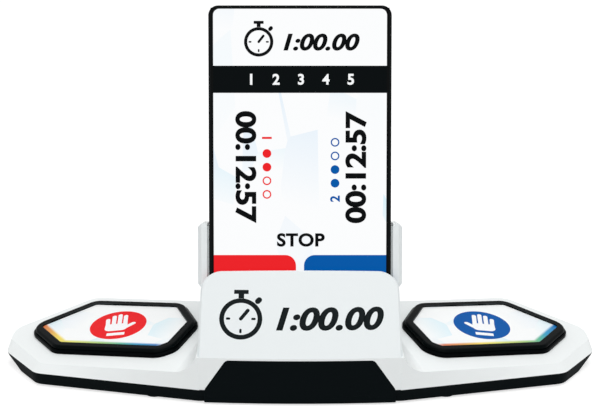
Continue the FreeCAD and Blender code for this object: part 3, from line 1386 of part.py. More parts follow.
# ---------------------------------------------------------------- fasteners and feet
def cross_recess(name, x, y):
    """Return the two bars of a screw head's cross recess, open downwards."""
    long, short = 1.4, 0.3
    return [
        box(name + "_a", (x - long, y - short, screw_seat - 1), (x + long, y + short, screw_seat + 0.8)),
        box(name + "_b", (x - short, y - long, screw_seat - 1), (x + short, y + long, screw_seat + 0.8)),
    ]


def make_hardware():
    """Case screws, cradle screws and rubber feet."""
    screws = []
    for i, (x, y) in enumerate(both_sides(BOSSES)):
        head = cylinder(f"screw_head_{i}", (x, y, screw_seat), D.screw_head_r, D.screw_head - 0.1)
        shank = cylinder(f"screw_shank_{i}", (x, y, screw_seat + 1), D.screw_r, D.screw_length)
        screws.append(cut(f"screw_{i}", fuse(f"screw_blank_{i}", head, shank),
                          *cross_recess(f"cross_{i}", x, y)))
    group = doc.addObject("Part::Compound", "case_screws")
    group.Links = screws
    finish("case_screws", group)
    screws = []
    for i, (x, y) in enumerate(both_sides(CRADLE_SCREWS)):
        head = cylinder(f"cradle_head_{i}", (x, y, screw_seat), D.screw_head_r, D.screw_head - 0.1)
        shank = cylinder(f"cradle_shank_{i}", (x, y, screw_seat + 1), D.screw_r,
                         plinth_top + CRADLE_GRIP - screw_seat - 1)
        screws.append(cut(f"cradle_screw_{i}", fuse(f"cradle_blank_{i}", head, shank),
                          *cross_recess(f"cradle_cross_{i}", x, y)))
    group = doc.addObject("Part::Compound", "cradle_screws")
    group.Links = screws
    finish("cradle_screws", group)
    feet = []
    for i, (x, y) in enumerate(both_sides(FEET)):
        disc = cylinder(f"foot_disc_{i}", (x, y, 0), D.foot_r, D.foot_height + D.foot_seat)
        feet.append(soften(f"foot_{i}", disc, 0.5, lambda edge: edge.BoundBox.ZMax < 0.01,
                           "Part::Chamfer"))
    group = doc.addObject("Part::Compound", "rubber_feet")
    group.Links = feet
    finish("rubber_feet", group)


# ---------------------------------------------------------------- build
make_lower_shell()
make_upper_shell()
make_fascia()
make_cradle()
make_rear_cover()
make_rest_pads()
for arm_name, arm_side, arm_low, arm_high in rack_slots():
    make_arm(arm_name, arm_side, arm_low, arm_high)
make_pinion()
make_centring_spring()
make_phone()
make_pads()
make_levers()
make_hardware()
doc.recompute()

faults = [thing.Name for thing in doc.Objects if {"Invalid", "Error"} & set(thing.State)]
for part in FINISHED:
    shape = part.Shape
    if shape.isNull() or not shape.isValid() or not shape.Solids:
        faults.append(part.Label)
if faults:
    raise RuntimeError("not built: " + ", ".join(faults))

os.makedirs("parts", exist_ok=True)
for part in FINISHED:
    part.Shape.exportStep(os.path.join("parts", part.Label + ".step"))
    print(f"{part.Label}: {len(part.Shape.Solids)} solids, {part.Shape.Volume:.1f} mm3")
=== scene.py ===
"""Looks of a speed cube timer: a two-pad docking base that holds a phone as its display.

Lengths are metres, +X to the right, +Y to the back, +Z up. Prints are laid out in millimetres
on the face that carries them.
"""
import logging
import math
from dataclasses import dataclass, field
from enum import Enum
from typing import Callable, ClassVar, Protocol

import bmesh
import bpy
from mathutils import Euler, Matrix, Vector


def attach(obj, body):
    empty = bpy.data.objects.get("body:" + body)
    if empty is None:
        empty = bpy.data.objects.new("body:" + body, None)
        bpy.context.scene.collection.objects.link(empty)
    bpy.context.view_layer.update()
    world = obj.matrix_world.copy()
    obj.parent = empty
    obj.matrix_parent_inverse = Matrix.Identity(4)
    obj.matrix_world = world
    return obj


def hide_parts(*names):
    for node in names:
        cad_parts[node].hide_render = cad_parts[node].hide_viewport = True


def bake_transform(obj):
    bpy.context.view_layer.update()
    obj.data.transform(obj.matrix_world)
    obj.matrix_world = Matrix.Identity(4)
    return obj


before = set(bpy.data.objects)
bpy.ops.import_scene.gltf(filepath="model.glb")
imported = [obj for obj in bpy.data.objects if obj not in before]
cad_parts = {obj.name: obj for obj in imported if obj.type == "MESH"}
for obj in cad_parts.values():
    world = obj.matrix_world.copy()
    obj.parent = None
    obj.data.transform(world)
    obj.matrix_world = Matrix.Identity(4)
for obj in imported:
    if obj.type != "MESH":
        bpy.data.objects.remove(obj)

Point = tuple[float, float]
Span = tuple[float, float]
Spot = tuple[float, float, float]
Colour = tuple[float, float, float]
Radii = tuple[float, float, float, float]
Block = tuple[float, float, float]
Bar = tuple[float, float, float, float]
Outline = list[Point]
Node = bpy.types.Node
Socket = bpy.types.NodeSocket

LOG = logging.getLogger("speed_cube_timer")
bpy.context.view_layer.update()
MM = 0.001

# The right pad's own frame: its origin in millimetres and its turns about X, Y and Z.
PAD_ORIGIN: Spot = (78.0, 3.443, 12.9)
PAD_TURN: Spot = (math.radians(4.9), math.radians(3.4), math.radians(12.0))


class Side(Enum):
    """The two sides of the base."""

    RIGHT = "right"
    LEFT = "left"


class Reading(Enum):
    """Which way a line of figures runs on its face, in degrees."""

    LEVEL = 0
    DOWN = -90
    UP = 90


# ---------------------------------------------------------------- colours
def srgb(red: int, green: int, blue: int) -> Colour:
    """Turn screen colour values into the linear ones that shaders use.

    Args:
        red, green, blue: values from 0 to 255.

    Returns:
        The same colour, linear.
    """
    def linear(value: float) -> float:
        """Undo the screen's curve for one channel."""
        share = value / 255
        return share / 12.92 if share <= 0.04045 else ((share + 0.055) / 1.055) ** 2.4

    return linear(red), linear(green), linear(blue)


BLACK: Colour = (0.0, 0.0, 0.0)
WHITE = srgb(252, 253, 254)
INK_BLACK = srgb(17, 24, 26)
RED = srgb(238, 34, 40)
BLUE = srgb(0, 88, 168)
SHARD_PALE = srgb(227, 240, 251)
SHARD_CYAN = srgb(184, 232, 248)
SPECTRUM = ((0.0, srgb(222, 112, 74)), (0.1, srgb(230, 162, 74)), (0.2, srgb(250, 222, 92)),
            (0.34, srgb(226, 228, 112)), (0.56, srgb(164, 206, 118)), (0.7, srgb(84, 184, 150)),
            (0.82, srgb(2, 154, 204)), (1.0, srgb(2, 104, 184)))


# ---------------------------------------------------------------- shader graphs
class Graph:
    """A short way to place and link the nodes of a material or a node group."""

    def __init__(self, tree: bpy.types.NodeTree) -> None:
        """Start on an emptied tree."""
        self.tree = tree
        tree.nodes.clear()

    def fill(self, node: Node, **inputs: object) -> None:
        """Link or set a node's inputs.

        Args:
            node: the node.
            inputs: sockets or values, each under its input's name with an underscore for a
                space, or under i and its input's number.
        """
        for name, value in inputs.items():
            numbered = name[0] == "i" and name[1:].isdigit()
            socket = node.inputs[int(name[1:]) if numbered else name.replace("_", " ")]
            if isinstance(value, Socket):
                self.tree.links.new(value, socket)
            elif isinstance(value, tuple) and len(value) == 3 and socket.type == "RGBA":
                socket.default_value = (*value, 1.0)
            else:
                socket.default_value = value

    def add(self, kind: str, settings: dict[str, object] | None = None, **inputs: object) -> Node:
        """Place a node.

        Args:
            kind: the node's type name after ShaderNode.
            settings: properties of the node itself.
            inputs: its inputs, as in fill.

        Returns:
            The new node.
        """
        node = self.tree.nodes.new("ShaderNode" + kind)
        for name, value in (settings or {}).items():
            setattr(node, name, value)
        self.fill(node, **inputs)
        return node

    def place(self) -> Socket:
        """Return the place on the object, in metres."""
        return self.add("TexCoord").outputs["Object"]

    def noise(self, place: Socket, scale: object, detail: float, bite: float = 0.5) -> Socket:
        """Return a cloudy noise; bite is how rough its detail is."""
        return self.add("TexNoise", Vector=place, Scale=scale, Detail=detail, Roughness=bite).outputs["Fac"]

    def maths(self, operation: str, first: object, second: object = 0.0, clamp: bool = False) -> Socket:
        """Return the result of a maths node."""
        return self.add("Math", {"operation": operation, "use_clamp": clamp}, i0=first, i1=second).outputs[0]

    def swing(self, value: Socket, reach: object) -> Socket:
        """Return how far a value lies from a half, times a reach."""
        return self.maths("MULTIPLY", self.maths("SUBTRACT", value, 0.5), reach)

    def along(self, place: Socket, way: object) -> Socket:
        """Return how far a place lies along a direction."""
        return self.add("VectorMath", {"operation": "DOT_PRODUCT"}, i0=place, i1=way).outputs["Value"]

    def blend(self, share: object, first: object, second: object) -> Socket:
        """Return the mix of two colours; a colour mix has them at its inputs 6 and 7."""
        return self.add("Mix", {"data_type": "RGBA"}, i0=share, i6=first, i7=second).outputs[2]

    def spread(self, value: object, low: float, high: float, to_low: float = 0.0,
               to_high: float = 1.0) -> Socket:
        """Return a value carried from one span to another, clamped."""
        return self.add("MapRange", i0=value, i1=low, i2=high, i3=to_low, i4=to_high).outputs[0]

    def bump(self, height: Socket, depth: float) -> Socket:
        """Return the normal of a surface with this relief, its depth in metres."""
        return self.add("Bump", Height=height, Distance=depth, Strength=1.0).outputs[0]


@dataclass(frozen=True)
class Effect:
    """A shared surface effect: one node group with named inputs and outputs."""

    name: str
    inputs: dict[str, str]
    outputs: dict[str, str]
    inside: Callable[[Graph, Node, Node], None]
    made: ClassVar[dict[str, bpy.types.NodeTree]] = {}

    def tree(self) -> bpy.types.NodeTree:
        """Build the node group on first use.

        Returns:
            The node group.
        """
        if self.name not in self.made:
            group = bpy.data.node_groups.new(self.name, "ShaderNodeTree")
            for flow, sockets in (("INPUT", self.inputs), ("OUTPUT", self.outputs)):
                for label, kind in sockets.items():
                    group.interface.new_socket(label, in_out=flow, socket_type="NodeSocket" + kind)
            graph = Graph(group)
            self.inside(graph, group.nodes.new("NodeGroupInput"), group.nodes.new("NodeGroupOutput"))
            self.made[self.name] = group
        return self.made[self.name]

    def place(self, graph: Graph, **inputs: object) -> Node:
        """Put the group into a material, with its own values."""
        return graph.add("Group", {"node_tree": self.tree()}, **inputs)


# Noises: scale per metre, detail, and how rough the detail is.
DRIFT_NOISE = (22.0, 3.0)
HIGHLIGHT_AND_WEAR_NOISE = (140.0, 4.0, 0.6)
LINE_NOISE = (900.0, 3.0)
STAIN_NOISE = (220.0, 2.0)
MOTTLE_NOISE = (1800.0, 2.0)
FILM_NOISE = (3200.0, 1.0)

# Mould grain: detail and its roughness, its share of the relief beside the pits, its pull on gloss.
GRAIN_DETAIL = (2.0, 0.65)
GRAIN_SHARE = 0.6
GRAIN_ON_ROUGHNESS = 0.12

# Edges lightened by painted highlight, patchy like wear: cosine between rounded and true normal where they
# start and are full, and patches.
HIGHLIGHT_AND_WEAR_COSINES: Span = (0.985, 0.86)
HIGHLIGHT_AND_WEAR_PATCHES: Span = (0.38, 0.62)
HIGHLIGHT_AND_WEAR_SAMPLES = 6

# Shards: how few are tinted, which way and how far each fades, and where pale turns to cyan.
SHARD_CHOICE: Span = (0.5, 0.9)
SHARD_WAY: Spot = (0.6, 0.5, 0.62)
SHARD_FADE: Span = (-0.45, 0.45)
SHARD_TONES: Span = (0.45, 0.7)

# Tool lines: how much finer they are along Z, and the stains' pull on gloss.
LINE_STRETCH: Spot = (1.0, 1.0, 14.0)
STAIN_ON_ROUGHNESS = 0.25


def draw_moulded_skin(graph: Graph, source: Node, sink: Node) -> None:
    """Draw spark-eroded mould grain with a faint, wide drift of colour.

    Args:
        graph: the group's graph.
        source, sink: the group's input and output nodes.
    """
    given = source.outputs
    place = graph.place()
    grain = graph.noise(place, given["Grain"], *GRAIN_DETAIL)
    pits = graph.add("TexVoronoi", {"feature": "SMOOTH_F1"}, Vector=place, Scale=given["Grain"])
    value = graph.maths("ADD", 1.0, graph.swing(graph.noise(place, *DRIFT_NOISE), given["Drift"]))
    tint = graph.add("HueSaturation", Color=given["Colour"], Value=value)
    height = graph.maths("ADD", graph.maths("MULTIPLY", grain, GRAIN_SHARE),
                         graph.maths("MULTIPLY", pits.outputs["Distance"], 1.0 - GRAIN_SHARE))
    rough = graph.maths("ADD", given["Roughness"], graph.swing(grain, GRAIN_ON_ROUGHNESS))
    graph.fill(sink, Colour=tint.outputs["Color"], Roughness=rough, Height=height)


def draw_edge_highlight_and_wear(graph: Graph, source: Node, sink: Node) -> None:
    """Draw a mask of sharp edges for a painted highlight and wear, broken up as handling rubs them.

    Args:
        graph: the group's graph.
        source, sink: the group's input and output nodes.
    """
    rounded = graph.add("Bevel", {"samples": HIGHLIGHT_AND_WEAR_SAMPLES}, Radius=source.outputs["Width"]).outputs["Normal"]
    match = graph.along(rounded, graph.add("NewGeometry").outputs["Normal"])
    patch = graph.spread(graph.noise(graph.place(), *HIGHLIGHT_AND_WEAR_NOISE), *HIGHLIGHT_AND_WEAR_PATCHES)
    graph.fill(sink, Mask=graph.maths("MULTIPLY", graph.spread(match, *HIGHLIGHT_AND_WEAR_COSINES), patch))


def draw_facets(graph: Graph, source: Node, sink: Node) -> None:
    """Draw flat shards over a ground; a few are tinted, and each fades towards one side.

    Args:
        graph: the group's graph.
        source, sink: the group's input and output nodes.
    """
    given = source.outputs
    shards = graph.add("TexVoronoi", Vector=given["Place"], Scale=given["Size"], Randomness=1.0)
    pick = graph.add("SeparateColor", Color=shards.outputs["Color"])
    centre = shards.outputs["Position"]
    inside = graph.add("VectorMath", {"operation": "SUBTRACT"}, i0=given["Place"], i1=centre)
    across = graph.maths("MULTIPLY", graph.along(inside.outputs[0], SHARD_WAY), given["Size"])
    chosen = graph.spread(pick.outputs[0], *SHARD_CHOICE)
    mask = graph.maths("MULTIPLY", chosen, graph.spread(across, *SHARD_FADE))
    tint = graph.blend(graph.spread(pick.outputs[1], *SHARD_TONES), SHARD_PALE, SHARD_CYAN)
    share = graph.maths("MULTIPLY", mask, given["Strength"])
    graph.fill(sink, Colour=graph.blend(share, given["Ground"], tint))


def draw_turned_lines(graph: Graph, source: Node, sink: Node) -> None:
    """Draw fine tool lines and stains of a turned or drawn metal part.

    Args:
        graph: the group's graph.
        source, sink: the group's input and output nodes.
    """
    place = graph.place()
    stretch = graph.add("Mapping", Vector=place, Scale=LINE_STRETCH)
    stains = graph.swing(graph.noise(place, *STAIN_NOISE), STAIN_ON_ROUGHNESS)
    graph.fill(sink, Height=graph.noise(stretch.outputs[0], *LINE_NOISE),
               Roughness=graph.maths("ADD", source.outputs["Roughness"], stains))


MOULDED_SKIN = Effect("moulded_skin",
                      {"Colour": "Color", "Roughness": "Float", "Grain": "Float", "Drift": "Float"},
                      {"Colour": "Color", "Roughness": "Float", "Height": "Float"}, draw_moulded_skin)
EDGE_HIGHLIGHT_AND_WEAR = Effect("edge_highlight_and_wear", {"Width": "Float"}, {"Mask": "Float"}, draw_edge_highlight_and_wear)
FACETS = Effect("facets", {"Ground": "Color", "Place": "Vector", "Size": "Float", "Strength": "Float"},
                {"Colour": "Color"}, draw_facets)
TURNED_LINES = Effect("turned_lines", {"Roughness": "Float"}, {"Height": "Float", "Roughness": "Float"},
                      draw_turned_lines)


# ---------------------------------------------------------------- finishes
@dataclass(frozen=True)
class Finish:
    """What a surface is made of. Each kind draws its own material once."""

    name: str
    colour: Colour
    made: ClassVar[dict[str, bpy.types.Material]] = {}

    def draw(self, graph: Graph, shader: Node) -> None:
        """Give the shader of the material its colour."""
        graph.fill(shader, Base_Color=self.colour)

    def material(self) -> bpy.types.Material:
        """Build the material on first use.

        Returns:
            The material.
        """
        if self.name not in self.made:
            made = self.made[self.name] = bpy.data.materials.new("finish_" + self.name)
            made.use_nodes = True
            made.diffuse_color = (*self.colour, 1.0)
            graph = Graph(made.node_tree)
            shader = graph.add("BsdfPrincipled")
            graph.add("OutputMaterial", Surface=shader.outputs[0])
            self.draw(graph, shader)
        return self.made[self.name]


@dataclass(frozen=True)
class Moulded(Finish):
    """Moulded plastic, rubber or glass: mould grain, slight drift of gloss, and edges lightened by painted
    highlight and wear.
    """

    roughness: float = 0.4
    gloss: float = 0.4
    grain: float = 2600.0
    depth: float = 0.00002
    drift: float = 0.03
    # Colour of the painted highlight along sharp edges, patchy like wear, and the width of its band.
    highlight_and_wear: Colour | None = None
    highlight_and_wear_width: float = 0.0005
    coat: float = 0.0
    coat_roughness: float = 0.08

    def draw(self, graph: Graph, shader: Node) -> None:
        """Lay the grain, and the edges' painted highlight and wear, over the base colour.

        Args:
            graph, shader: the material's graph and its shader.
        """
        skin = MOULDED_SKIN.place(graph, Colour=self.colour, Roughness=self.roughness, Grain=self.grain,
                                  Drift=self.drift)
        colour = skin.outputs["Colour"]
        # Lighten the sharp edges towards this colour: painted highlight, patchy like wear.
        if self.highlight_and_wear:
            mask = EDGE_HIGHLIGHT_AND_WEAR.place(graph, Width=self.highlight_and_wear_width).outputs["Mask"]
            colour = graph.blend(mask, colour, self.highlight_and_wear)
        graph.fill(shader, Base_Color=colour, Roughness=skin.outputs["Roughness"],
                   Normal=graph.bump(skin.outputs["Height"], self.depth), Specular_IOR_Level=self.gloss,
                   Coat_Weight=self.coat, Coat_Roughness=self.coat_roughness)


@dataclass(frozen=True)
class PhoneShell(Moulded):
    """Phone housing: a black frame, and a satin slate panel that covers its back."""

    panel: Colour = srgb(33, 39, 45)
    out: Spot = (0.0, -0.96363, 0.26724)
    front: float = 0.01707
    frame_depth: float = 0.0074
    line: float = 0.0002

    def draw(self, graph: Graph, shader: Node) -> None:
        """Tone the part of the housing that lies behind the frame's back edge.

        Args:
            graph, shader: the material's graph and its shader.
        """
        super().draw(graph, shader)
        frame_colour = shader.inputs["Base Color"].links[0].from_socket
        edge = self.front - self.frame_depth
        behind = graph.spread(graph.along(graph.place(), self.out), edge, edge - self.line)
        graph.fill(shader, Base_Color=graph.blend(behind, frame_colour, self.panel))


@dataclass(frozen=True)
class Metal(Finish):
    """Turned or drawn metal with fine lines."""

    roughness: float = 0.3
    depth: float = 0.00001

    def draw(self, graph: Graph, shader: Node) -> None:
        """Lay tool lines over bare metal.

        Args:
            graph, shader: the material's graph and its shader.
        """
        super().draw(graph, shader)
        lines = TURNED_LINES.place(graph, Roughness=self.roughness).outputs
        graph.fill(shader, Roughness=lines["Roughness"], Metallic=1.0,
                   Normal=graph.bump(lines["Height"], self.depth))


@dataclass(frozen=True)
class Ink(Finish):
    """Screen-printed ink with slight unevenness."""

    roughness: float = 0.45
    gloss: float = 0.3
    mottle: float = 0.04
    clouds: Span = (0.3, 0.7)

    def draw(self, graph: Graph, shader: Node) -> None:
        """Print the colour with a faint mottle.

        Args:
            graph, shader: the material's graph and its shader.
        """
        value = graph.spread(graph.noise(graph.place(), *MOTTLE_NOISE), *self.clouds, 1.0 - self.mottle,
                             1.0 + self.mottle)
        colour = graph.add("HueSaturation", Color=self.colour, Value=value)
        graph.fill(shader, Base_Color=colour.outputs[0], Roughness=self.roughness,
                   Specular_IOR_Level=self.gloss)


@dataclass(frozen=True)
class Lit(Finish):
    """Picture elements behind the front glass: their own light and a thin polished gloss."""

    glow: float = 0.93
    roughness: float = 0.2
    gloss: float = 0.02
    rows: float = 900.0
    row_dim: float = 0.01
    faceted: bool = False
    shard_size: float = 62.0
    shard_turn: Spot = (0.0, math.radians(38), 0.0)
    shard_shape: Spot = (1.0, 0.0, 0.5)

    def draw(self, graph: Graph, shader: Node) -> None:
        """Give most of the colour as light and the rest as paint, in fine rows.

        Args:
            graph, shader: the material's graph and its shader.
        """
        place = graph.place()
        rows = graph.add("TexWave", {"bands_direction": "Z"}, Vector=place, Scale=self.rows)
        value = graph.spread(rows.outputs["Fac"], 0.0, 1.0, 1.0 - self.row_dim, 1.0)
        colour = graph.add("HueSaturation", Color=self.colour, Value=value).outputs[0]
        if self.faceted:
            turned = graph.add("Mapping", Vector=place, Rotation=self.shard_turn, Scale=self.shard_shape)
            colour = FACETS.place(graph, Ground=colour, Place=turned.outputs[0], Size=self.shard_size,
                                  Strength=1.0).outputs["Colour"]
        graph.fill(shader, Base_Color=graph.blend(self.glow, colour, BLACK),
                   Emission_Color=graph.blend(1.0 - self.glow, colour, BLACK), Emission_Strength=1.0,
                   Roughness=self.roughness, Specular_IOR_Level=self.gloss)


@dataclass(frozen=True)
class Plate(Finish):
    """Printed label sheet: white, very pale shards, and a spectrum that fades in from its front edge.

    Its places are metres in the pad's own directions, from the pad's origin.
    """

    front: float = 0.017
    slant: Spot = (-0.6574, 0.7535, 0.0)
    slant_reach: float = 0.025366
    spectrum_span: Span = (0.034, -0.024)
    right_bend: float = 1.35
    fade: Span = (0.0018, 0.0034)
    inner_end: Span = (-0.0275, -0.0225)
    shards: float = 0.4
    shard_size: float = 110.0
    shard_turn: Spot = (0.0, 0.0, math.radians(27))
    shard_shape: Spot = (1.0, 0.7, 0.0)
    film_depth: float = 0.000008
    roughness: float = 0.38
    gloss: float = 0.3

    def own_place(self, graph: Graph) -> Socket:
        """Find the place in the pad's own directions, the left pad folded over onto the right one.

        Args:
            graph: the material's graph.

        Returns:
            The place.
        """
        split = graph.add("SeparateXYZ", Vector=graph.place()).outputs
        folded = graph.add("CombineXYZ", X=graph.maths("ABSOLUTE", split["X"]), Y=split["Y"], Z=split["Z"])
        origin = tuple(part * MM for part in PAD_ORIGIN)
        return graph.add("Mapping", {"vector_type": "TEXTURE"}, Vector=folded.outputs[0], Location=origin,
                         Rotation=PAD_TURN).outputs[0]

    def fringe(self, graph: Graph, own: Socket) -> tuple[Socket, Socket]:
        """Colour the front edge, warm at its left end and blue at its right end on both pads.

        Args:
            graph: the material's graph.
            own: the place in the pad's own directions.

        Returns:
            The spectrum's colour and its strength.
        """
        split = graph.add("SeparateXYZ", Vector=own).outputs
        from_front = graph.maths("ADD", split["Y"], self.front)
        from_slant = graph.maths("ADD", graph.along(own, self.slant), self.slant_reach)
        inward = graph.spread(split["X"], *self.spectrum_span)
        outward = graph.maths("POWER", graph.maths("SUBTRACT", 1.0, inward), self.right_bend)
        across = graph.add("SeparateXYZ", Vector=graph.place()).outputs["X"]
        turnabout = graph.maths("MULTIPLY", graph.maths("GREATER_THAN", across, 0.0),
                                graph.maths("SUBTRACT", outward, inward))
        ramp = graph.add("ValToRGB", Fac=graph.maths("ADD", inward, turnabout))
        stops = ramp.color_ramp.elements
        for spot, _ in SPECTRUM[1:-1]:
            stops.new(spot)
        for stop, (_, colour) in zip(stops, SPECTRUM):
            stop.color = (*colour, 1.0)
        fade = graph.add("MapRange", {"interpolation_type": "SMOOTHSTEP"}, i1=self.fade[0], i2=self.fade[1],
                         i0=graph.maths("MINIMUM", from_front, from_slant), i3=1.0, i4=0.0)
        inner_end = graph.spread(split["X"], *self.inner_end)
        return ramp.outputs["Color"], graph.maths("MULTIPLY", fade.outputs[0], inner_end)

    def draw(self, graph: Graph, shader: Node) -> None:
        """Print the shards and the spectrum and add the film's fine texture.

        Args:
            graph, shader: the material's graph and its shader.
        """
        own = self.own_place(graph)
        turned = graph.add("Mapping", Vector=own, Rotation=self.shard_turn, Scale=self.shard_shape)
        paper = FACETS.place(graph, Ground=self.colour, Place=turned.outputs[0], Size=self.shard_size,
                             Strength=self.shards).outputs["Colour"]
        spectrum, strength = self.fringe(graph, own)
        relief = graph.bump(graph.noise(own, *FILM_NOISE), self.film_depth)
        graph.fill(shader, Base_Color=graph.blend(strength, paper, spectrum), Normal=relief,
                   Roughness=self.roughness, Specular_IOR_Level=self.gloss)


class Finishes:
    """Every finish of the timer."""

    shell_white = Moulded("shell_white", srgb(245, 249, 249), roughness=0.36, gloss=0.3, drift=0.012)
    # A greyer copy of the shell's white: the grey is painted shade on the sloping hood.
    hood_white_painted_shade = Moulded("hood_white_painted_shade", srgb(236, 241, 242), roughness=0.36, gloss=0.2, drift=0.01)
    # The lighter edge colours of the blacks below are painted highlight, patchy like wear.
    tray_black = Moulded("tray_black", srgb(7, 13, 15), roughness=0.62, gloss=0.03, grain=2200.0,
                         highlight_and_wear=srgb(20, 28, 30))
    cradle_white = Moulded("cradle_white", srgb(238, 241, 242), roughness=0.45, gloss=0.3)
    arm_white = Moulded("arm_white", srgb(240, 245, 246), roughness=0.36, gloss=0.25)
    liner_grey = Moulded("liner_grey", srgb(212, 217, 217), roughness=0.6, gloss=0.2, grain=1500.0,
                         depth=0.00004)
    rubber_black = Moulded("rubber_black", srgb(18, 19, 20), roughness=0.7, gloss=0.1, grain=1400.0,
                           depth=0.00005, drift=0.15)
    cap_black = Moulded("cap_black", srgb(2, 6, 7), roughness=0.26, gloss=0.03, highlight_and_wear=srgb(56, 68, 70),
                        highlight_and_wear_width=0.0008)
    bezel_black = Moulded("bezel_black", srgb(2, 4, 5), roughness=0.3, gloss=0.02, highlight_and_wear=srgb(16, 21, 23))
    lever_black = Moulded("lever_black", srgb(26, 27, 29), roughness=0.55, gloss=0.2, drift=0.1)
    tip_rubber = Moulded("tip_rubber", srgb(40, 40, 42), roughness=0.7, gloss=0.2, grain=1500.0,
                         depth=0.00005)
    gear_nylon = Moulded("gear_nylon", srgb(222, 219, 208), roughness=0.48, gloss=0.35)
    label_sheet = Plate("label_sheet", srgb(252, 254, 254))
    steel = Metal("steel", (0.62, 0.62, 0.63), 0.32)
    spring_wire = Metal("spring_wire", (0.55, 0.55, 0.56), 0.26)
    phone_shell = PhoneShell("phone_shell", srgb(4, 7, 8), roughness=0.3, gloss=0.05, grain=3200.0,
                             depth=0.000006, highlight_and_wear=srgb(18, 22, 24), highlight_and_wear_width=0.0004)
    phone_glass = Moulded("phone_glass", srgb(2, 4, 5), roughness=0.08, gloss=0.03, depth=0.0, drift=0.0)
    lens_glass = Moulded("lens_glass", srgb(6, 8, 12), roughness=0.06, gloss=0.5, depth=0.0, drift=0.0,
                         coat=0.6)
    print_black = Ink("print_black", INK_BLACK, gloss=0.06)
    print_red = Ink("print_red", RED, gloss=0.05)
    print_blue = Ink("print_blue", BLUE, gloss=0.05)
    print_white = Ink("print_white", WHITE)
    screen_white = Lit("screen_white", srgb(253, 254, 255), faceted=True)
    screen_black = Lit("screen_black", srgb(3, 8, 10))
    screen_text = Lit("screen_text", srgb(9, 11, 13))
    screen_pale = Lit("screen_pale", srgb(250, 252, 253))
    screen_red = Lit("screen_red", RED)
    screen_blue = Lit("screen_blue", BLUE)


# ---------------------------------------------------------------- faces that carry prints
class Face(Protocol):
    """A face of the object that prints are laid on."""

    def spot(self, across: float, along: float, lift: float) -> Vector:
        """Return the point at a place on the face, in metres."""


@dataclass(frozen=True)
class FlatFace:
    """A flat face given by its origin and three directions; sizes in millimetres."""

    origin: Vector
    right: Vector
    up: Vector
    out: Vector

    def spot(self, across: float, along: float, lift: float) -> Vector:
        """Return the point at a place on the face, in metres."""
        return (self.origin + self.right * across + self.up * along + self.out * lift) * MM


@dataclass(frozen=True)
class HoodFace:
    """The hood's bowed face: a slanted line turned about an upright axis behind the base."""

    front: float = -38.97
    bow: float = 585.0
    crease_set: float = 1.9
    crease_z: float = 19.3
    lean: float = math.radians(43)

    def spot(self, across: float, along: float, lift: float) -> Vector:
        """Find the point at a place on the face.

        Args:
            across: distance from the middle, along the bow.
            along: distance up the slant from the crease.
            lift: distance out from the face.

        Returns:
            The point, in metres.
        """
        y = self.front + self.crease_set + along * math.sin(self.lean) - lift * math.cos(self.lean)
        z = self.crease_z + along * math.cos(self.lean) + lift * math.sin(self.lean)
        axis = self.front + self.bow
        reach = axis - y
        turn = across / reach
        return Vector((reach * math.sin(turn), axis - reach * math.cos(turn), z)) * MM


# ---------------------------------------------------------------- prints
CORNER_STEPS = 10
FIGURE_STEPS = 6
WELD = 0.0005


def arc(centre: Point, radius: float, start: float, end: float, steps: int) -> Outline:
    """Return points of an arc; angles in degrees."""
    angles = [math.radians(start + (end - start) * i / steps) for i in range(steps + 1)]
    return [(centre[0] + radius * math.cos(a), centre[1] + radius * math.sin(a)) for a in angles]


def disc(centre: Point, radius: float, steps: int = 64) -> Outline:
    """Return a circle's outline."""
    return arc(centre, radius, 0, 360 - 360 / steps, steps - 1)


def panel(low: Point, high: Point, radii: Radii = (0, 0, 0, 0)) -> Outline:
    """Draw a rectangle with rounded or sharp corners.

    Args:
        low, high: its lower left and upper right corners.
        radii: of its corners, counter-clockwise from the lower left one.

    Returns:
        The outline.
    """
    corners = ((low[0], low[1], 1, 1, 180), (high[0], low[1], -1, 1, 270), (high[0], high[1], -1, -1, 0),
               (low[0], high[1], 1, -1, 90))
    points: Outline = []
    for (x, y, dx, dy, start), radius in zip(corners, radii):
        if radius > 0:
            points += arc((x + dx * radius, y + dy * radius), radius, start, start + 90, CORNER_STEPS)
        else:
            points.append((x, y))
    return points


def capsule(start: Point, end: Point, width: float, steps: int = 8) -> Outline:
    """Return a bar with round ends."""
    way = math.degrees(math.atan2(end[1] - start[1], end[0] - start[0]))
    return arc(start, width / 2, way + 90, way + 270, steps) + arc(end, width / 2, way - 90, way + 90, steps)


def new_object(name: str, data: bpy.types.ID) -> bpy.types.Object:
    """Put a new object into the scene.

    Args:
        name: the object's name.
        data: the mesh, curve, lamp or camera that it shows.

    Returns:
        The object.
    """
    made = bpy.data.objects.new(name, data)
    bpy.context.scene.collection.objects.link(made)
    return made


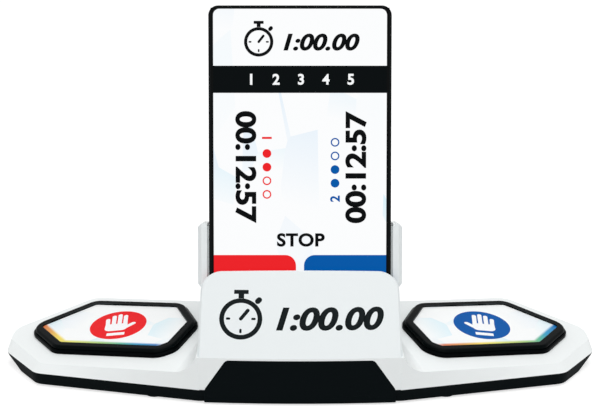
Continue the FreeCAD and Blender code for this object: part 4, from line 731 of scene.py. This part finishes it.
class Sheet:
    """A flat layer of print, collected as outlines and figures and then laid on a face."""

    def __init__(self, name: str) -> None:
        """Start an empty layer."""
        self.name = name
        self.mesh = bmesh.new()

    def take(self, source: bpy.types.Object, fit: Matrix | None = None) -> "Sheet":
        """Add the filled shape of a curve or text object, then discard the object.

        Args:
            source: the object.
            fit: how its shape is moved and scaled.

        Returns:
            The layer.
        """
        flat = bpy.data.meshes.new_from_object(source.evaluated_get(bpy.context.evaluated_depsgraph_get()))
        flat.transform(fit or Matrix.Identity(4))
        self.mesh.from_mesh(flat)
        curve = source.data
        bpy.data.objects.remove(source)
        bpy.data.curves.remove(curve)
        bpy.data.meshes.remove(flat)
        return self

    def shapes(self, *outlines: Outline) -> "Sheet":
        """Add closed outlines; one inside another leaves a hole.

        Args:
            outlines: the points of each.

        Returns:
            The layer.
        """
        curve = bpy.data.curves.new(self.name + "_outline", "CURVE")
        curve.dimensions = "2D"
        curve.fill_mode = "BOTH"
        for outline in outlines:
            spline = curve.splines.new("POLY")
            spline.points.add(len(outline) - 1)
            for point, (x, y) in zip(spline.points, outline):
                point.co = (x, y, 0, 1)
            spline.use_cyclic_u = True
        return self.take(new_object(self.name + "_outline", curve))

    def figures(self, text: str, low: Point, high: Point, reading: Reading = Reading.LEVEL,
                weight: float = 0.035, slant: float = 0.0, gap: float = 1.0) -> "Sheet":
        """Add a line of figures that fills a rectangle; a single figure keeps its shape.

        Args:
            text: the figures.
            low, high: opposite corners of the rectangle.
            reading: the way that the line runs.
            weight: how much the strokes are thickened.
            slant: lean of the figures.
            gap: spacing between the figures.

        Returns:
            The layer.
        """
        curve = bpy.data.curves.new(self.name + "_figures", "FONT")
        curve.body = text
        curve.offset = weight
        curve.shear = slant
        curve.space_character = gap
        curve.resolution_u = FIGURE_STEPS
        line = new_object(self.name + "_figures", curve)
        bpy.context.view_layer.update()
        box = [Vector(corner) for corner in line.bound_box]
        least = Vector((min(c.x for c in box), min(c.y for c in box), 0))
        most = Vector((max(c.x for c in box), max(c.y for c in box), 0))
        middle = Vector(((low[0] + high[0]) / 2, (low[1] + high[1]) / 2, 0))
        wide, tall = abs(high[0] - low[0]), abs(high[1] - low[1])
        if reading is not Reading.LEVEL:
            wide, tall = tall, wide
        stretch = [wide / (most.x - least.x), tall / (most.y - least.y)]
        if len(text) == 1:
            stretch = [min(stretch)] * 2
        size = Matrix.Diagonal((*stretch, 1, 1))
        turn = Matrix.Rotation(math.radians(reading.value), 4, "Z")
        centred = Matrix.Translation(-(least + most) / 2)
        return self.take(line, Matrix.Translation(middle) @ turn @ size @ centred)

    def lay(self, face: Face, finish: Finish, body: str, slot: str, lift: float = 0.03,
            thick: float = 0.03, cell: float = 0.0) -> None:
        """Turn the layer into a thin solid on a face.

        Args:
            face: the face that carries it.
            finish: its ink.
            body: the moving body that it rides on.
            slot: the record's material slot nearest to it; not used.
            lift: its upper side over the face, millimetres.
            thick: its thickness, millimetres.
            cell: spacing of the cuts that let it follow a curved face; none where 0.
        """
        work = self.mesh
        bmesh.ops.remove_doubles(work, verts=work.verts, dist=WELD)
        if cell:
            reach = int(max(abs(v.co.x) for v in work.verts) / cell)
            for step in range(-reach, reach + 1):
                bmesh.ops.bisect_plane(work, geom=work.verts[:] + work.edges[:] + work.faces[:],
                                       plane_co=(step * cell, 0, 0), plane_no=(1, 0, 0), dist=WELD)
        bmesh.ops.recalc_face_normals(work, faces=work.faces)
        for item in work.faces:
            if item.normal.z < 0:
                item.normal_flip()
        raised = bmesh.ops.extrude_face_region(work, geom=work.faces[:], use_keep_orig=True)
        tops = {v for v in raised["geom"] if isinstance(v, bmesh.types.BMVert)}
        for vert in work.verts:
            height = lift if vert in tops else lift - thick
            vert.co = face.spot(vert.co.x, vert.co.y, height)
        bmesh.ops.recalc_face_normals(work, faces=work.faces)
        mesh = bpy.data.meshes.new(self.name)
        work.to_mesh(mesh)
        work.free()
        piece = new_object(self.name, mesh)
        mesh.materials.append(finish.material())
        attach(piece, body)
        LOG.info("print %s: %d faces", self.name, len(mesh.polygons))


# ---------------------------------------------------------------- pieces of the frame
def dress(node: str, finish: Finish) -> None:
    """Give a CAD node its finish.

    Args:
        node: the node's name.
        finish: its finish.
    """
    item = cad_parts[node]
    item.data.materials.clear()
    item.data.materials.append(finish.material())
    LOG.info("node %s: %s", node, finish.name)


@dataclass(frozen=True)
class LiveSpring:
    """Coil spring: a copy of the drawn spring in spring wire, standing in for it."""

    node: str
    piece: str
    joint: str
    pressed: bool

    def build(self) -> None:
        """Stand the copy in for the drawn spring and hide the drawn one."""
        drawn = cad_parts[self.node]
        piece = new_object(self.piece, drawn.data.copy())
        piece.matrix_world = drawn.matrix_world
        piece.data.materials.clear()
        piece.data.materials.append(Finishes.spring_wire.material())
        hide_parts(self.node)
        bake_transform(piece)


# ---------------------------------------------------------------- stopwatch sign
@dataclass(frozen=True)
class StopwatchSign:
    """A plain stopwatch in one colour. Turns are degrees; other lengths are shares of the radius.

    A block is its half width, low and high side; a bar is its turn, near end, far end and width.
    """

    centre: Point
    radius: float
    ring_inside: float = 0.78
    neck: Block = (0.13, 0.99, 1.22)
    crown: Block = (0.34, 1.22, 1.42)
    crown_corner: float = 0.2
    button: Bar = (48, 1.16, 1.26, 0.26)
    pointer: Bar = (52, 0.0, 0.52, 0.17)
    ticks: tuple[Bar, ...] = tuple((turn, 0.54, 0.64, 0.11) for turn in (180, 270, 0))

    def block(self, half: float, low: float, high: float, corner: float = 0.0) -> Outline:
        """Return an upright block over the centre, its corners rounded by this many millimetres."""
        (x, y), r = self.centre, self.radius
        return panel((x - r * half, y + r * low), (x + r * half, y + r * high), (corner,) * 4)

    def bar(self, turn: float, near: float, far: float, width: float) -> Outline:
        """Draw a round-ended bar that points away from the centre.

        Args:
            turn: its direction.
            near, far: how far its ends lie from the centre.
            width: its width.

        Returns:
            The outline.
        """
        x, y = self.centre
        across = math.cos(math.radians(turn)) * self.radius
        up = math.sin(math.radians(turn)) * self.radius
        start, end = ((x + across * reach, y + up * reach) for reach in (near, far))
        return capsule(start, end, width * self.radius)

    def outlines(self) -> list[Outline]:
        """Draw the ring, neck, crown, side button, pointer and ticks.

        Returns:
            Their closed outlines.
        """
        ring = [disc(self.centre, self.radius), disc(self.centre, self.radius * self.ring_inside)]
        top = [self.block(*self.neck), self.block(*self.crown, self.crown_corner)]
        return ring + top + [self.bar(*bar) for bar in (self.button, self.pointer, *self.ticks)]


@dataclass(frozen=True)
class TimeLine:
    """The stopwatch sign with a row of leaning clock figures beside it."""

    sign: StopwatchSign
    low: Point
    high: Point
    text: str = "1:00.00"
    slant: float = 0.25

    def sheet(self, name: str) -> Sheet:
        """Return the print as a layer of this name."""
        sheet = Sheet(name).shapes(*self.sign.outlines())
        return sheet.figures(self.text, self.low, self.high, slant=self.slant)


# ---------------------------------------------------------------- case
@dataclass
class Case:
    """Black tray, white decks, sloping hood and its print."""

    title: TimeLine = TimeLine(StopwatchSign((-23.6, 16.4), 8.6), (-9.5, 11.6), (33.5, 21.4))
    cell: float = 2.5

    def build(self) -> None:
        """Dress the case and lay the hood's print."""
        dress("lower_shell", Finishes.tray_black)
        dress("upper_shell", Finishes.shell_white)
        dress("front_fascia", Finishes.hood_white_painted_shade)
        hood_print = self.title.sheet("hood_print")
        hood_print.lay(HoodFace(), Finishes.print_black, "base", "tray_black", cell=self.cell)


# ---------------------------------------------------------------- pads
@dataclass
class Pad:
    """One pressed pad: black cap, printed label plate, black bezel and its spring.

    Its sign is a disc with a raised hand, seen from the palm: fingers (each its place and its
    height), palm, thumb and cuff.
    """

    side: Side
    ink: Finish
    top: float = 2.5
    upright: float = math.radians(14.0)
    disc_radius: float = 12.15
    disc_steps: int = 96
    palm: tuple[Point, Point, Radii] = ((-4.0, -5.0), (5.5, 1.0), (2.2, 2.4, 0.5, 0.5))
    fingers: tuple[Point, ...] = ((-3.0, 7.5), (-0.5, 8.6), (2.0, 7.7), (4.5, 5.1))
    finger_lean: float = 0.5
    finger_width: float = 1.85
    thumb: tuple[Point, Point, float] = ((-2.9, -3.1), (-6.5, 0.4), 2.0)
    cuff: tuple[Point, Point, Radii] = ((-3.6, -9.1), (4.0, -6.9), (0.3, 0.3, 0.3, 0.3))
    hand_lift: float = 0.055
    layer: float = 0.002

    def face(self) -> FlatFace:
        """Find the label's upper face; the left pad's is the mirror image.

        Returns:
            The face, in the pad's own directions.
        """
        turn = Euler(PAD_TURN).to_matrix()
        flip = Vector((-1 if self.side is Side.LEFT else 1, 1, 1))
        right, up, out = (turn @ Vector(axis) * flip for axis in ((1, 0, 0), (0, 1, 0), (0, 0, 1)))
        return FlatFace(Vector(PAD_ORIGIN) * flip + out * self.top, right, up, out)

    def sign_face(self) -> FlatFace:
        """Turn the label's face so that the sign stands upright on the base.

        Returns:
            The turned face.
        """
        face = self.face()
        right = face.right * math.cos(self.upright) - face.up * math.sin(self.upright)
        up = face.right * math.sin(self.upright) + face.up * math.cos(self.upright)
        return FlatFace(face.origin, right, up, face.out)

    def hand(self) -> list[Outline]:
        """Return the palm, the fingers and the thumb, which points to the middle of the base."""
        fingers = [capsule((x, 0.0), (x + self.finger_lean, high), self.finger_width)
                   for x, high in self.fingers]
        return [panel(*self.palm), *fingers, capsule(*self.thumb)]

    def build(self) -> None:
        """Dress the pad and lay its prints."""
        side = self.side.value
        dress(f"pad_cap_{side}", Finishes.cap_black)
        dress(f"pad_label_{side}", Finishes.label_sheet)
        dress(f"pad_bezel_{side}", Finishes.bezel_black)
        LiveSpring(f"pad_spring_{side}", f"return_spring_{side}", f"pad_{side}_press", True).build()
        carrier = (f"pad_{side}", "label_white")
        face = self.sign_face()
        ground = disc((0, 0), self.disc_radius, self.disc_steps)
        Sheet(f"touch_disc_{side}").shapes(ground).lay(face, self.ink, *carrier)
        for i, part in enumerate(self.hand()):
            lift = self.hand_lift + self.layer * i
            Sheet(f"hand_{side}_{i}").shapes(part).lay(face, Finishes.print_white, *carrier, lift=lift)
        cuff = Sheet(f"cuff_{side}").shapes(panel(*self.cuff))
        cuff.lay(face, Finishes.print_white, *carrier, lift=self.hand_lift)


# ---------------------------------------------------------------- phone
@dataclass(frozen=True)
class Player:
    """One player's half of the picture: where the clock and the tally stand and how they run."""

    side: Side
    clock_x: float
    tally_x: float
    tally_foot: float
    way: int
    ink: Finish
    reading: Reading
    figure: str


@dataclass
class Phone:
    """Generic phone with a lit picture on its screen: clocks of two players and two touch areas.

    The picture is laid out from the middle of the phone's foot.
    """

    foot: Vector = field(default_factory=lambda: Vector((0, -15.22, 9.0)))
    lean: float = math.radians(15.5)
    half_screen: float = 35.55
    screen: Span = (3.2, 143.65)
    corner: float = 2.6
    band: Span = (109.4, 120.5)
    area_top: float = 42.76
    area_gap: float = 1.65
    area_corner: float = 4.4
    title: TimeLine = TimeLine(StopwatchSign((-16.9, 130.2), 6.0), (-6.8, 126.6), (24.4, 133.6))
    stop_label: tuple[Point, Point] = ((-9.5, 46.2), (10.2, 51.8))
    stop_gap: float = 1.06
    players: tuple[Player, ...] = (
        Player(Side.LEFT, -22.3, -13.6, 91.0, -1, Finishes.screen_red, Reading.DOWN, "1"),
        Player(Side.RIGHT, 23.0, 14.4, 66.0, 1, Finishes.screen_blue, Reading.UP, "2"))
    clock: str = "00:12:57"
    clock_half: float = 4.4
    clock_ends: Span = (55.9, 102.0)
    rounds: int = 5
    round_start: float = -20.0
    round_step: float = 10.2
    round_half: float = 1.5
    round_ends: Span = (112.7, 117.2)
    small_weight: float = 0.03
    tally_half: Point = (2.0, 1.4)
    tally_first: float = 6.4
    tally_step: float = 5.6
    tally_dots: int = 4
    tally_full: int = 2
    dot_radius: float = 1.8
    dot_inside: float = 1.25
    dot_steps: int = 40
    lift: float = 0.05
    ground_lift: float = 0.03
    rounds_lift: float = 0.07

    def face(self) -> FlatFace:
        """Find the outer side of the front glass.

        Returns:
            The face, its origin at the phone's foot.
        """
        up = Vector((0, math.sin(self.lean), math.cos(self.lean)))
        out = Vector((0, -math.cos(self.lean), math.sin(self.lean)))
        return FlatFace(self.foot, Vector((1, 0, 0)), up, out)

    def show(self, sheet: Sheet, finish: Finish, lift: float = 0.0) -> None:
        """Lay a layer of the picture on the glass, at its usual lift where none is given."""
        sheet.lay(self.face(), finish, "phone", "screen_glass", lift=lift or self.lift)

    def build(self) -> None:
        """Dress the phone and lay out its picture."""
        dress("phone_body", Finishes.phone_shell)
        dress("phone_glass", Finishes.phone_glass)
        dress("camera_glass", Finishes.lens_glass)
        self.show_areas()
        self.show(self.title.sheet("screen_header"), Finishes.screen_text)
        self.show_rounds()
        for player in self.players:
            self.show_tally(player)
        for player in self.players:
            self.show_clock(player)
        stop = Sheet("stop_label").figures("STOP", *self.stop_label, gap=self.stop_gap)
        self.show(stop, Finishes.screen_text)

    def show_areas(self) -> None:
        """Lay the white ground, the black band and the two touch areas."""
        half, corner, inner, gap = self.half_screen, self.corner, self.area_corner, self.area_gap
        low, high = self.screen
        for name, finish, lift, area in (
                ("screen_ground", Finishes.screen_white, self.ground_lift,
                 panel((-half, low), (half, high), (corner,) * 4)),
                ("screen_band", Finishes.screen_black, self.lift,
                 panel((-half, self.band[0]), (half, self.band[1]))),
                ("touch_area_red", Finishes.screen_red, self.lift,
                 panel((-half, low), (-gap, self.area_top), (corner, 0, inner, 0))),
                ("touch_area_blue", Finishes.screen_blue, self.lift,
                 panel((gap, low), (half, self.area_top), (0, corner, 0, inner)))):
            self.show(Sheet(name).shapes(area), finish, lift)

    def show_clock(self, player: Player) -> None:
        """Lay a player's clock, turned to the player.

        Args:
            player: the player's half of the picture.
        """
        x, half = player.clock_x, self.clock_half
        low, high = self.clock_ends
        row = Sheet(f"clock_{player.side.value}")
        row.figures(self.clock, (x - half, low), (x + half, high), player.reading)
        self.show(row, Finishes.screen_text)

    def show_rounds(self) -> None:
        """Lay the round counter in the black band."""
        row = Sheet("round_counter")
        low, high = self.round_ends
        for i in range(self.rounds):
            x = self.round_start + self.round_step * i
            row.figures(str(i + 1), (x - self.round_half, low), (x + self.round_half, high),
                        weight=self.small_weight)
        self.show(row, Finishes.screen_pale, self.rounds_lift)

    def show_tally(self, player: Player) -> None:
        """Lay a player's figure and the row of full dots and rings beside it.

        Args:
            player: the player's half of the picture.
        """
        x, y = player.tally_x, player.tally_foot
        wide, tall = self.tally_half
        row = Sheet(f"tally_{player.side.value}")
        row.figures(player.figure, (x - wide, y - tall), (x + wide, y + tall), player.reading,
                    self.small_weight)
        for i in range(self.tally_dots):
            centre = (x, y + player.way * (self.tally_first + self.tally_step * i))
            rings = [disc(centre, self.dot_radius, self.dot_steps)]
            if i >= self.tally_full:
                rings.append(disc(centre, self.dot_inside, self.dot_steps))
            row.shapes(*rings)
        self.show(row, player.ink)


# ---------------------------------------------------------------- cradle and fittings
@dataclass
class Cradle:
    """Leaning cradle with its rubber strips, rear cover, two arms, pinion and spring."""

    plain: ClassVar[dict[str, Finish]] = {
        "phone_cradle": Finishes.cradle_white, "cradle_rear_cover": Finishes.cradle_white,
        "phone_rest_pad": Finishes.rubber_black, "backrest_pads": Finishes.rubber_black,
        "centring_pinion": Finishes.gear_nylon, "pinion_stud": Finishes.steel}

    def build(self) -> None:
        """Dress the cradle's pieces."""
        for node, finish in self.plain.items():
            dress(node, finish)
        LiveSpring("centring_spring", "arm_spring", "arm_right_slide", False).build()
        for side in Side:
            dress(f"centring_arm_{side.value}", Finishes.arm_white)
            dress(f"arm_liner_{side.value}", Finishes.liner_grey)


@dataclass
class Fittings:
    """Touch levers with their tips and pins, screws and rubber feet."""

    screws: tuple[str, ...] = ("case_screws", "cradle_screws", "cover_screws")

    def build(self) -> None:
        """Dress the small pieces."""
        for side in Side:
            dress(f"touch_lever_{side.value}", Finishes.lever_black)
            dress(f"touch_tip_{side.value}", Finishes.tip_rubber)
            dress(f"lever_pin_{side.value}", Finishes.steel)
        for node in self.screws:
            dress(node, Finishes.steel)
        dress("rubber_feet", Finishes.rubber_black)


# ---------------------------------------------------------------- studio
@dataclass(frozen=True)
class Lamp:
    """A square soft lamp: its name, place, side in metres and power in watts."""

    name: str
    spot: Spot
    size: float
    power: float

    def hang(self, target: Vector) -> None:
        """Hang the lamp so that it looks at a target.

        Args:
            target: the point that it looks at.
        """
        data = bpy.data.lights.new(self.name, "AREA")
        data.size = self.size
        data.energy = self.power
        lamp = new_object(self.name, data)
        lamp.location = self.spot
        lamp.rotation_euler = (target - Vector(self.spot)).to_track_quat("-Z", "Y").to_euler()


@dataclass
class Studio:
    """Pale floor, soft lamps and the camera."""

    eye: Spot = (0.0, -0.39007, 0.1972)
    pitch: float = 18.0
    lens: float = 60.0
    sensor: float = 36.0
    sky: float = 0.54
    lamps: tuple[Lamp, ...] = (Lamp("key_lamp", (-0.1, -1.2, 0.55), 0.9, 3.4),
                               Lamp("top_lamp", (0.1, -0.05, 1.4), 1.0, 8.1))
    target: Spot = (0.0, 0.0, 0.03)
    floor_reach: float = 6.0
    floor_tone: Colour = (0.6, 0.6, 0.6)
    floor_seen: Colour = (0.7, 0.7, 0.7)
    floor_glow: float = 0.6
    floor_roughness: float = 0.9

    def seen(self, graph: Graph) -> Socket:
        """Tell the rays that look at a surface from those that only light it.

        Args:
            graph: the material's or the world's graph.

        Returns:
            1 for rays of the camera, of reflections and through glass, 0 for lighting rays.
        """
        path = graph.add("LightPath").outputs
        mirrored = graph.maths("ADD", path["Is Glossy Ray"], path["Is Transmission Ray"])
        return graph.maths("ADD", path["Is Camera Ray"], mirrored, clamp=True)

    def lay_floor(self) -> None:
        """Lay the floor: white to the camera and to reflections, but with the object's shadow."""
        mesh = bpy.data.meshes.new("studio_floor")
        reach = self.floor_reach
        corners = [(-reach, -reach, 0), (reach, -reach, 0), (reach, reach, 0), (-reach, reach, 0)]
        mesh.from_pydata(corners, [], [(0, 1, 2, 3)])
        made = bpy.data.materials.new("studio_white")
        made.use_nodes = True
        graph = Graph(made.node_tree)
        seen = self.seen(graph)
        shader = graph.add("BsdfPrincipled", Base_Color=graph.blend(seen, self.floor_tone, self.floor_seen),
                           Roughness=self.floor_roughness, Specular_IOR_Level=0.0)
        glow = graph.add("Emission", Strength=graph.maths("MULTIPLY", seen, self.floor_glow))
        both = graph.add("AddShader", i0=shader.outputs[0], i1=glow.outputs[0])
        graph.add("OutputMaterial", Surface=both.outputs[0])
        mesh.materials.append(made)
        new_object("studio_floor", mesh)

    def light_sky(self) -> None:
        """Light the object softly from all round, before a white background."""
        world = bpy.data.worlds.new("soft_sky")
        world.use_nodes = True
        graph = Graph(world.node_tree)
        strength = graph.maths("ADD", self.sky, graph.maths("MULTIPLY", self.seen(graph), 1.0 - self.sky))
        back = graph.add("Background", Color=(1.0, 1.0, 1.0), Strength=strength)
        graph.add("OutputWorld", Surface=back.outputs[0])
        bpy.context.scene.world = world

    def build(self) -> None:
        """Set up floor, sky, lamps and camera."""
        scene = bpy.context.scene
        scene.view_settings.view_transform = "Standard"
        self.lay_floor()
        self.light_sky()
        for lamp in self.lamps:
            lamp.hang(Vector(self.target))
        data = bpy.data.cameras.new("camera")
        data.lens = self.lens
        data.sensor_width = self.sensor
        data.sensor_fit = "HORIZONTAL"
        camera = new_object("camera", data)
        camera.location = self.eye
        camera.rotation_euler = Euler((math.radians(90 - self.pitch), 0, 0))
        scene.camera = camera


def main() -> None:
    """Build every sub-assembly in order and log each one."""
    logging.basicConfig(level=logging.INFO, format="%(name)s %(message)s")
    for part in (Studio(), Case(), Pad(Side.RIGHT, Finishes.print_blue), Pad(Side.LEFT, Finishes.print_red),
                 Phone(), Cradle(), Fittings()):
        part.build()
        LOG.info("built %s", type(part).__name__)


if __name__ == "__main__":
    main()
